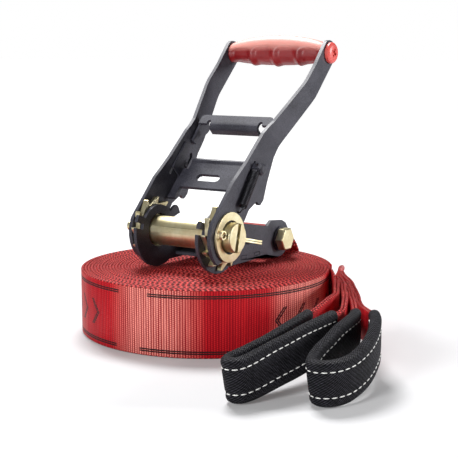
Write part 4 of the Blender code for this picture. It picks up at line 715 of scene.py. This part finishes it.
# Sleeves
# Padded tubes of black twill slid over the folded loops, quilted by two rows of white stitches on each face.
# The tube is shaped as a soft box section; its stitches are laid by a node tree along the seams.
SLEEVE_HEIGHT = 0.0298
SLEEVE_THICK = 0.0078
SLEEVE_WALL = 0.0013
SLEEVE_EDGE = 0.0032
SLEEVE_RIM = 0.002
FACE_STEPS = 18
EDGE_STEPS = 6
SEAM_HEIGHT = 0.0082
SEAM_DEPTH = 0.00055
SEAM_HALF = 0.0011
SEAM_TRIM = 2
TWILL_SPACING = 0.0018
TWILL_SLANT = 1.15
PICK_SPACING = TWILL_SPACING * 1.6
TWILL_SHARPNESS = 2.2
TWILL_DARK = (0.0003, 0.0003, 0.0008, 1.0)
TWILL_LIGHT = (0.055, 0.053, 0.068, 1.0)
THREAD_DEEP = (0.74, 0.73, 0.70, 1.0)
THREAD_LIGHT = (0.93, 0.93, 0.91, 1.0)
THREAD_SPOTS = 1600.0
THREAD_RELIEF = 0.0002
STITCH_LENGTH = 0.0040
STITCH_SPACING = 0.0052
STITCH_THICK = 0.00085
STITCH_SIDES = 8
STITCH_RINGS = 5
STITCH_RISE = STITCH_THICK * 0.25
TWILL_ROUGHNESS = 0.62
TWILL_SPECULAR = 0.16
TWILL_RELIEF = 0.00035
PICK_SHARE = 0.35
LINT_SCALE = 220.0
LINT_RELIEF = 1.5
LINE_SLEEVE_SPAN = (8.1, 24.1)
SLING_SLEEVE_SPAN = (12.1, 26.3)


def sleeve_outline():
    """Half height and half thickness points round the sleeve, with a groove at each seam."""
    out = SLEEVE_THICK / 2.0
    flat = SLEEVE_HEIGHT / 2.0 - SLEEVE_EDGE
    points = []
    for sign in (1.0, -1.0):
        for step in range(FACE_STEPS + 1):
            place = flat * (1.0 - 2.0 * step / FACE_STEPS) * sign
            near = (abs(place) - SEAM_HEIGHT) / SEAM_HALF
            points.append((place, sign * (out - SEAM_DEPTH * math.exp(-near * near))))
        for step in range(1, EDGE_STEPS):
            angle = math.pi * (0.5 - step / EDGE_STEPS)
            place = flat + SLEEVE_EDGE * math.cos(angle)
            points.append((-sign * place, sign * (out - SEAM_DEPTH * 0.2) * math.sin(angle)))
    return points


def twill_finish():
    """Black twill with fine slanted ribs, dull and a little dusty."""
    finish = PieceFinish("black_twill", TWILL_ROUGHNESS)
    cloth, along, across = finish.cloth()
    rib = finish.wave(finish.blend(along, 1.0, across, TWILL_SLANT), TWILL_SPACING)
    pick = finish.wave(finish.math("SUBTRACT", along, across), PICK_SPACING)
    weave = finish.blend(rib, 1.0, pick, PICK_SHARE)
    lint = finish.noise(cloth, LINT_SCALE, 4.0, 0.7)
    tone = finish.times(finish.range(weave, -1.2, 1.2), finish.range(lint, 0.25, 0.75, 0.55, 1.2))
    finish.colour(finish.mix(finish.math("POWER", tone, TWILL_SHARPNESS), TWILL_DARK, TWILL_LIGHT))
    finish.specular(TWILL_SPECULAR)
    finish.bump(finish.blend(weave, 1.0, lint, LINT_RELIEF), TWILL_RELIEF, 1.0)
    return finish.material


def thread_finish():
    """White twisted thread."""
    finish = PieceFinish("white_thread", 0.5)
    spots = finish.noise(finish.place(), THREAD_SPOTS, 2.0)
    finish.colour(finish.mix(finish.range(spots, 0.3, 0.7), THREAD_DEEP, THREAD_LIGHT))
    finish.bump(spots, THREAD_RELIEF, 0.6)
    return finish.material


def stitch_tree(thread):
    """Lays short threads along a curve: inputs are the stitches' spacing, length and thickness."""
    tree = bpy.data.node_groups.new("seam_stitches", "GeometryNodeTree")
    face = tree.interface
    face.new_socket("Seams", in_out="INPUT", socket_type="NodeSocketGeometry")
    for word in ("Spacing", "Length", "Thickness"):
        face.new_socket(word, in_out="INPUT", socket_type="NodeSocketFloat")
    face.new_socket("Stitches", in_out="OUTPUT", socket_type="NodeSocketGeometry")
    nodes = tree.nodes
    given = nodes.new("NodeGroupInput").outputs
    result = nodes.new("NodeGroupOutput")
    resample = nodes.new("GeometryNodeResampleCurve")
    resample.mode = "LENGTH"
    tangent = nodes.new("GeometryNodeInputTangent")
    align = nodes.new("FunctionNodeAlignRotationToVector")
    align.axis = "X"
    bead = nodes.new("GeometryNodeMeshUVSphere")
    bead.inputs["Segments"].default_value = STITCH_SIDES
    bead.inputs["Rings"].default_value = STITCH_RINGS
    bead.inputs["Radius"].default_value = 0.5
    size = nodes.new("ShaderNodeCombineXYZ")
    place = nodes.new("GeometryNodeInstanceOnPoints")
    realize = nodes.new("GeometryNodeRealizeInstances")
    paint = nodes.new("GeometryNodeSetMaterial")
    paint.inputs["Material"].default_value = thread
    for source, target in ((given["Seams"], resample.inputs["Curve"]),
                           (given["Spacing"], resample.inputs["Length"]),
                           (tangent.outputs[0], align.inputs["Vector"]),
                           (given["Length"], size.inputs[0]),
                           (given["Thickness"], size.inputs[1]),
                           (given["Thickness"], size.inputs[2]),
                           (resample.outputs[0], place.inputs["Points"]),
                           (bead.outputs["Mesh"], place.inputs["Instance"]),
                           (align.outputs[0], place.inputs["Rotation"]),
                           (size.outputs[0], place.inputs["Scale"]),
                           (place.outputs[0], realize.inputs[0]),
                           (realize.outputs[0], paint.inputs["Geometry"]),
                           (paint.outputs[0], result.inputs[0])):
        tree.links.new(source, target)
    return tree


def grow(name, carrier, tree, values):
    """Evaluates a node tree on a carrier object and keeps the result as a plain mesh piece."""
    change = carrier.modifiers.new(tree.name, "NODES")
    change.node_group = tree
    for socket in tree.interface.items_tree:
        if socket.in_out == "INPUT" and socket.name in values:
            change[socket.identifier] = values[socket.name]
    bpy.context.view_layer.update()
    shown = carrier.evaluated_get(bpy.context.evaluated_depsgraph_get())
    mesh = bpy.data.meshes.new_from_object(shown)
    mesh.name = name
    carrier.modifiers.remove(change)
    bpy.data.objects.remove(carrier)
    mesh.shade_smooth()
    return set_out(name, mesh)


def seam_curves(name, lines):
    """An object holding one open curve for each seam."""
    curve = bpy.data.curves.new(name, "CURVE")
    curve.dimensions = "3D"
    for line in lines:
        spline = curve.splines.new("POLY")
        spline.points.add(len(line) - 1)
        for knot, point in zip(spline.points, line):
            knot.co = (*point, 1.0)
    return set_out(name, curve)


twill = twill_finish()
stitches = stitch_tree(thread_finish())


def make_sleeve(name, frames, span, node):
    """A padded tube round the folded strap, and its four rows of stitches."""
    rows = frames[round(span[0] * ROUTE_STEPS):round(span[1] * ROUTE_STEPS) + 1]
    outline = sleeve_outline()
    high = (SLEEVE_HEIGHT - SLEEVE_WALL * 2.0) / SLEEVE_HEIGHT
    deep = (SLEEVE_THICK - SLEEVE_WALL * 2.0) / SLEEVE_THICK
    inner = [(a * high, b * deep) for a, b in outline]
    rings = []
    for line, shape in ((rows, outline), (rows[::-1], inner)):
        rings += [[row[0] + row[1] * a + row[2] * b for a, b in shape] for row in line]
    runs = lengths([row[0] for row in rows])
    along = runs + [runs[-1] * 2.0 + SLEEVE_RIM - run for run in reversed(runs)]
    along.append(along[-1] + SLEEVE_RIM)
    around = lengths([Vector(point) for point in outline + outline[:1]])
    sleeve = lay(name, rings, along, around, twill, ring_of_rings=True)
    hand_over(sleeve, "base", "black_fabric", node)
    seams = []
    for sign in (1.0, -1.0):
        out = sign * (SLEEVE_THICK / 2.0 - SEAM_DEPTH + STITCH_RISE)
        for height in (SEAM_HEIGHT, -SEAM_HEIGHT):
            seams.append([row[0] + row[1] * height + row[2] * out for row in rows[SEAM_TRIM:-SEAM_TRIM]])
    rows_of_stitches = grow(name + "_stitches", seam_curves(name + "_seams", seams), stitches,
                            {"Spacing": STITCH_SPACING, "Length": STITCH_LENGTH, "Thickness": STITCH_THICK})
    hand_over(rows_of_stitches, "base", "black_fabric")


make_sleeve("line_sleeve_twill", line_frames, LINE_SLEEVE_SPAN, "line_sleeve")
make_sleeve("sling_sleeve_twill", sling_frames, SLING_SLEEVE_SPAN, "sling_sleeve")

# Ratchet and lever, steel parts
# Pressed steel plates in black powder paint; spool, wheels, washers, pins and bolt in yellow zinc plating.
# Their shapes are the part's own; each piece gets a joined skin, rounded edges and its finish.
WELD_REACH = 0.00001
FLAT_TURN = math.radians(1.0)
CREASE_TURN = math.radians(28.0)
PLATE_ROUNDING = 0.00035
SMALL_ROUNDING = 0.00018
ROUNDING_STEPS = 3
PAINT_ROUGHNESS = (0.42, 0.56)
PAINT_SPECULAR = 0.36
PAINT_CLOUDS = 34.0
PAINT_GRAIN = 1500.0
PAINT_PEEL = 1100.0
PAINT_SPECKS = 520.0
PAINT_RELIEF = 0.00009
PAINT_LIGHT = (0.078, 0.077, 0.100, 1.0)
PAINT_DARK = (0.004, 0.004, 0.008, 1.0)
PAINT_WORN = (0.10, 0.10, 0.105, 1.0)
ZINC_LIGHT = (0.89, 0.83, 0.58, 1.0)
ZINC_DEEP = (0.62, 0.52, 0.27, 1.0)
ZINC_ROSY = (0.80, 0.63, 0.42, 1.0)
ZINC_ROUGHNESS = (0.36, 0.52)
ZINC_CLOUDS = 90.0
ZINC_ROSY_CLOUDS = 48.0
ZINC_MARKS = 2400.0
ZINC_MARK_STRETCH = (1.0, 0.06, 0.06)
ZINC_SPOTS = 800.0
ZINC_RELIEF = 0.00004
PAINTED_PLATES = ("base_plate_left", "base_plate_right", "handle_plate_left", "handle_plate_right",
                  "base_cross_web", "handle_upper_web", "drive_pawl", "lock_pawl")
PAINTED_SMALL = ("guide_screw_left", "guide_screw_right", "bolt_washer_left", "bolt_washer_right")
PLATED_PARTS = ("ratchet_wheel_left", "ratchet_wheel_right", "retaining_washer_left",
                "retaining_washer_right", "spool_half_front", "spool_half_back", "rear_bolt", "rear_nut",
                "bolt_sleeve", "grip_rod", "cotter_pin_left", "cotter_pin_right")

cad_nodes = {item["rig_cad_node"]: item for item in bpy.data.objects if "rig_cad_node" in item}


def vary_roughness(finish, pattern, low, high, smooth, dull):
    """Roughness that runs from smooth to dull with a pattern."""
    finish.put(finish.shader.inputs["Roughness"], finish.range(pattern, low, high, smooth, dull))


def paint_finish():
    """Black powder paint: satin, a fine orange-peel surface, soft clouds and a few rubbed specks."""
    finish = PieceFinish("black_powder_paint", PAINT_ROUGHNESS[0])
    place = finish.place()
    clouds = finish.noise(place, PAINT_CLOUDS, 3.0, 0.6)
    grain = finish.noise(place, PAINT_GRAIN, 3.0, 0.7)
    peel = finish.noise(place, PAINT_PEEL, 1.0)
    specks = finish.range(finish.noise(place, PAINT_SPECKS, 4.0, 0.75), 0.70, 0.78)
    tone = finish.range(finish.blend(clouds, 0.35, grain, 0.75), 0.38, 0.72)
    finish.colour(finish.mix(specks, finish.mix(tone, PAINT_DARK, PAINT_LIGHT), PAINT_WORN))
    vary_roughness(finish, clouds, 0.3, 0.7, *PAINT_ROUGHNESS)
    finish.specular(PAINT_SPECULAR)
    finish.bump(finish.blend(peel, 1.0, grain, 0.35), PAINT_RELIEF, 0.6)
    return finish.material


def zinc_finish():
    """Yellow zinc: straw-coloured plating with rosy clouds, fine turning marks and small dull spots."""
    finish = PieceFinish("yellow_zinc", ZINC_ROUGHNESS[0], 1.0)
    place = finish.place()
    clouds = finish.noise(place, ZINC_CLOUDS, 3.0, 0.6)
    rosy = finish.noise(place, ZINC_ROSY_CLOUDS, 2.0, 0.5)
    marks = finish.noise(finish.stretch(place, ZINC_MARK_STRETCH), ZINC_MARKS, 2.0)
    spots = finish.range(finish.noise(place, ZINC_SPOTS, 3.0, 0.7), 0.60, 0.72)
    body = finish.mix(finish.range(clouds, 0.3, 0.7), ZINC_LIGHT, ZINC_DEEP)
    body = finish.mix(finish.range(rosy, 0.50, 0.80, 0.0, 0.55), body, ZINC_ROSY)
    finish.colour(finish.mix(finish.times(spots, 0.5), body, ZINC_DEEP))
    vary_roughness(finish, finish.blend(clouds, 0.7, spots, 0.4), 0.2, 0.9, *ZINC_ROUGHNESS)
    finish.bump(finish.plus(marks, spots), ZINC_RELIEF, 0.5)
    return finish.material


def joined_skin(name, node):
    """A CAD node's mesh as one joined skin, with its flat areas cleared of needless edges."""
    shell = bmesh.new()
    shell.from_mesh(cad_nodes[node].data)
    bmesh.ops.remove_doubles(shell, verts=shell.verts, dist=WELD_REACH)
    bmesh.ops.dissolve_limit(shell, angle_limit=FLAT_TURN, verts=shell.verts, edges=shell.edges)
    mesh = bpy.data.meshes.new(name)
    turn_outwards(shell, mesh)
    mesh.shade_smooth()
    mesh.set_sharp_from_angle(angle=CREASE_TURN)
    return mesh


def dress(node, material, slot, rounding):
    """A piece with the node's own shape, its edges rounded, riding on the node's body."""
    name = node + "_dressed"
    mesh = joined_skin(name, node)
    mesh.materials.append(material)
    piece = set_out(name, mesh)
    edge = piece.modifiers.new("rounded_edges", "BEVEL")
    edge.width = rounding
    edge.segments = ROUNDING_STEPS
    edge.limit_method = "ANGLE"
    edge.angle_limit = CREASE_TURN
    edge.harden_normals = True
    hand_over(piece, cad_nodes[node]["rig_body"], slot, node)


paint = paint_finish()
zinc = zinc_finish()
for node in PAINTED_PLATES:
    dress(node, paint, "black_steel", PLATE_ROUNDING)
for node in PAINTED_SMALL:
    dress(node, paint, "black_steel", SMALL_ROUNDING)
for node in PLATED_PARTS:
    dress(node, zinc, "gold_zinc", SMALL_ROUNDING)

# Springs
# Dark steel wire coils. Two close-wound tension coils lie on the lever's outer faces, hooked into the drive
# pawl's lugs and the plates; two open compression coils push the lock pawl towards the wheels.
DRIVE_SPRING_RADIUS = 0.0029
DRIVE_SPRING_WIRE = 0.0011
DRIVE_SPRING_TURNS = 24
DRIVE_SPRING_OUT = 0.0413
DRIVE_SPRING_TOP = (0.0545, 0.0091)
DRIVE_SPRING_FOOT = (0.0250, 0.0053)
HOOK_BEND = ((0.5, 1.0), (1.0, 0.5), (1.2, 0.0), (1.0, -0.6))
PAWL_LUG = (0.0596, 0.0111)
PLATE_HOLE = (0.0213, 0.0028)
PLATE_INNER = 0.0354
LOCK_SPRING_RADIUS = 0.0030
LOCK_SPRING_WIRE = 0.0010
LOCK_SPRING_TURNS = 5
LOCK_SPRING_OUT = 0.0140
LOCK_SPRING_ENDS = (0.0488, 0.0581)
COIL_POINTS = 20
WIRE_POINTS = 8
STEEL_DARK = (0.018, 0.018, 0.022, 1.0)
STEEL_LIGHT = (0.060, 0.060, 0.068, 1.0)
STEEL_METAL = 0.85
STEEL_ROUGHNESS = (0.30, 0.46)
STEEL_CLOUDS = 260.0
STEEL_GRAIN = 3000.0
STEEL_RELIEF = 0.00003

lever_along = Vector(joints["drive_pawl_slide"]["axis"])
lock_along = Vector(joints["lock_pawl_slide"]["axis"])
AXLE = Vector((1.0, 0.0, 0.0))


def spring_finish():
    """Oiled spring steel, nearly black, with brighter rubbed crests."""
    finish = PieceFinish("spring_steel", STEEL_ROUGHNESS[0], STEEL_METAL)
    place = finish.place()
    clouds = finish.noise(place, STEEL_CLOUDS, 3.0, 0.6)
    finish.colour(finish.mix(finish.range(clouds, 0.3, 0.7), STEEL_DARK, STEEL_LIGHT))
    vary_roughness(finish, clouds, 0.3, 0.7, *STEEL_ROUGHNESS)
    finish.bump(finish.noise(place, STEEL_GRAIN, 2.0), STEEL_RELIEF, 0.5)
    return finish.material


steel = spring_finish()


def bent_wire(name, points, thick):
    """Round steel wire along a line of points, closed at both ends."""
    rings = []
    heads = headings(points)
    side = heads[0].orthogonal().normalized()
    for point, heading in zip(points, heads):
        side = (side - heading * side.dot(heading)).normalized()
        over = heading.cross(side)
        ring = []
        for step in range(WIRE_POINTS):
            angle = 2.0 * math.pi * step / WIRE_POINTS
            ring.append(point + (side * math.cos(angle) + over * math.sin(angle)) * (thick / 2.0))
        rings.append(ring)
    around = [thick * math.pi * step / WIRE_POINTS for step in range(WIRE_POINTS + 1)]
    return lay(name, rings, lengths(points), around, steel)


def coil(start, end, over, radius, turns):
    """Points of a coil round the line from one place to another."""
    count = turns * COIL_POINTS
    points = []
    for step in range(count + 1):
        angle = 2.0 * math.pi * step / COIL_POINTS
        spoke = AXLE * math.cos(angle) + over * math.sin(angle)
        points.append(start.lerp(end, step / count) + spoke * radius)
    return points


def set_spring(name, points, wire, body):
    """A spring of bent wire that rides on a body."""
    spring = bent_wire(name + "_coil", points, wire)
    hand_over(spring, body, "spring_steel", name)
    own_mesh(spring)


def lever_place(out, place):
    """World place of a point given in the lever's own directions."""
    over = AXLE.cross(lever_along)
    return spool_axis + AXLE * out + lever_along * place[0] + over * place[1]


for hand, sign in (("left", -1.0), ("right", 1.0)):
    out = sign * DRIVE_SPRING_OUT
    top = lever_place(out, DRIVE_SPRING_TOP)
    foot = lever_place(out, DRIVE_SPRING_FOOT)
    lug = lever_place(out, PAWL_LUG)
    hole = lever_place(out, PLATE_HOLE)
    heading = (foot - top).normalized()
    across = heading.cross(AXLE)
    hook = across * DRIVE_SPRING_RADIUS
    points = [lug - heading * (DRIVE_SPRING_WIRE * back) + hook * up for back, up in HOOK_BEND]
    points.append(lug.lerp(top, 0.5) - hook)
    points += coil(top, foot, across, DRIVE_SPRING_RADIUS, DRIVE_SPRING_TURNS)
    points += [foot.lerp(hole, 0.5), hole - AXLE * (sign * DRIVE_SPRING_RADIUS * 0.5),
               lever_place(sign * PLATE_INNER, PLATE_HOLE)]
    set_spring("drive_spring_" + hand, points, DRIVE_SPRING_WIRE, "handle")
    beside = spool_axis + AXLE * (sign * LOCK_SPRING_OUT)
    low, high = [beside + lock_along * place for place in LOCK_SPRING_ENDS]
    points = coil(low, high, AXLE.cross(lock_along), LOCK_SPRING_RADIUS, LOCK_SPRING_TURNS)
    set_spring("lock_spring_" + hand, points, LOCK_SPRING_WIRE, "base")

# Grip
# A moulded red plastic grip with a swollen crown and four finger scoops parted by thin ridges.
# It is threaded on a steel rod and closed by a round red screw at each end.
GRIP_REACH = 0.1890
GRIP_HALF_LENGTH = 0.0454
GRIP_END_RADIUS = 0.0080
GRIP_CROWN = 0.0143
GRIP_DEPTH = 0.0115
GRIP_SCOOPS = 4
SWELL_SHAPE = 2.1
SWELL_FULLNESS = 0.9
SCOOP_DEPTH = 0.0023
SCOOP_TOP = math.radians(24.0)
SCOOP_SOFTNESS = math.radians(11.0)
SCOOP_BACK = math.radians(-126.0)
SCOOP_WALL = 0.46
GRIP_BORE = 0.0044
GRIP_RINGS = 121
GRIP_POINTS = 60
GRIP_CREASE = math.radians(60.0)
GRIP_ROUGHNESS = 0.42
CAP_ROUGHNESS = 0.38
PLASTIC_SPECULAR = 0.7
PLASTIC_CLOUDS = 60.0
PLASTIC_GRAIN = 1900.0
PLASTIC_RELIEF = 0.00006
PLASTIC_GLOW = 0.06
PLASTIC_GLOW_REACH = (0.004, 0.001, 0.001)
PLASTIC_LIGHT = (0.33, 0.012, 0.014, 1.0)
PLASTIC_DEEP = (0.20, 0.003, 0.006, 1.0)
# Pale salmon of the painted highlight on the grip's upper side.
PLASTIC_PAINTED_HIGHLIGHT = (0.80, 0.33, 0.28, 1.0)
CAP_LIGHT = (0.80, 0.13, 0.105, 1.0)
CAP_DEEP = (0.55, 0.045, 0.042, 1.0)


def plastic_finish(name, light, deep, roughness, top_highlight=None):
    """Moulded plastic: faint clouds, a fine eroded grain, a soft shine and, on the grip, a painted highlight
    that pales the upper side.
    """
    finish = PieceFinish(name, roughness)
    place = finish.place()
    clouds = finish.noise(place, PLASTIC_CLOUDS, 3.0, 0.6)
    grain = finish.noise(place, PLASTIC_GRAIN, 2.0)
    colour = finish.mix(finish.range(finish.blend(clouds, 0.5, grain, 0.5), 0.3, 0.75), deep, light)
    if top_highlight:
        # Painted highlight: the grip's upper side, where the top lamp falls, is coloured pale salmon.
        lift = finish.math("SINE", finish.times(finish.cloth()[2], 1.0 / GRIP_END_RADIUS))
        lit_top = finish.range(finish.blend(lift, 1.0, clouds, 0.2), 0.22, 0.62)
        colour = finish.mix(lit_top, colour, top_highlight)
    finish.colour(colour)
    vary_roughness(finish, clouds, 0.3, 0.7, roughness - 0.05, roughness + 0.06)
    finish.specular(PLASTIC_SPECULAR)
    finish.shader.inputs["Subsurface Weight"].default_value = PLASTIC_GLOW
    finish.shader.inputs["Subsurface Radius"].default_value = PLASTIC_GLOW_REACH
    finish.bump(grain, PLASTIC_RELIEF, 0.6)
    return finish.material


def swell(share):
    """Share of the crown at a place along the grip."""
    return max(0.0, 1.0 - abs(share) ** SWELL_SHAPE) ** SWELL_FULLNESS


def soften(share):
    """A share held between nought and one, with soft ends."""
    share = min(max(share, 0.0), 1.0)
    return share * share * (3.0 - 2.0 * share)


def scoop(share, angle):
    """Share of the scoop's depth at a place along and round the grip."""
    off = abs(2.0 * ((share + 1.0) / 2.0 * GRIP_SCOOPS % 1.0) - 1.0)
    turn = (angle + math.pi) % (2.0 * math.pi) - math.pi
    lip = SCOOP_TOP - SCOOP_SOFTNESS * 1.6 * off ** 3.0
    width = soften((1.0 - off) / SCOOP_WALL)
    front = soften((lip - turn) / SCOOP_SOFTNESS)
    return width * front * soften((turn - SCOOP_BACK) / (SCOOP_SOFTNESS * 5.0))


grip_red = plastic_finish("red_moulded_grip", PLASTIC_LIGHT, PLASTIC_DEEP, GRIP_ROUGHNESS, PLASTIC_PAINTED_HIGHLIGHT)
cap_red = plastic_finish("coral_screw", CAP_LIGHT, CAP_DEEP, CAP_ROUGHNESS)
grip_middle = spool_axis + lever_along * GRIP_REACH
angles = [2.0 * math.pi * step / GRIP_POINTS for step in range(GRIP_POINTS)]
rings = []
for index in range(GRIP_RINGS):
    share = -1.0 + 2.0 * index / (GRIP_RINGS - 1)
    middle = grip_middle + AXLE * (share * GRIP_HALF_LENGTH)
    crown = GRIP_END_RADIUS + (GRIP_CROWN - GRIP_END_RADIUS) * swell(share)
    depth = GRIP_END_RADIUS + (GRIP_DEPTH - GRIP_END_RADIUS) * swell(share)
    ring = []
    for angle in angles:
        lift = math.sin(angle)
        cut = SCOOP_DEPTH * scoop(share, angle)
        height = (crown if lift > 0.0 else depth - cut) * lift
        breadth = ((GRIP_END_RADIUS + depth) / 2.0 - cut) * math.cos(angle)
        ring.append(middle + Vector((0.0, -breadth, height)))
    rings.append(ring)
for share in (1.0, -1.0):
    middle = grip_middle + AXLE * (share * GRIP_HALF_LENGTH)
    rings.append([middle + Vector((0.0, -math.cos(angle), math.sin(angle))) * GRIP_BORE for angle in angles])
runs = lengths([ring[0] for ring in rings] + [rings[0][0]])
around = [2.0 * math.pi * GRIP_END_RADIUS * step / GRIP_POINTS for step in range(GRIP_POINTS + 1)]
grip = lay("moulded_grip", rings, runs, around, grip_red, ring_of_rings=True)
grip.data.set_sharp_from_angle(angle=GRIP_CREASE)
hand_over(grip, "handle", "red_plastic", "grip")
for node in ("grip_cap_left", "grip_cap_right"):
    dress(node, cap_red, "red_plastic", SMALL_ROUNDING)
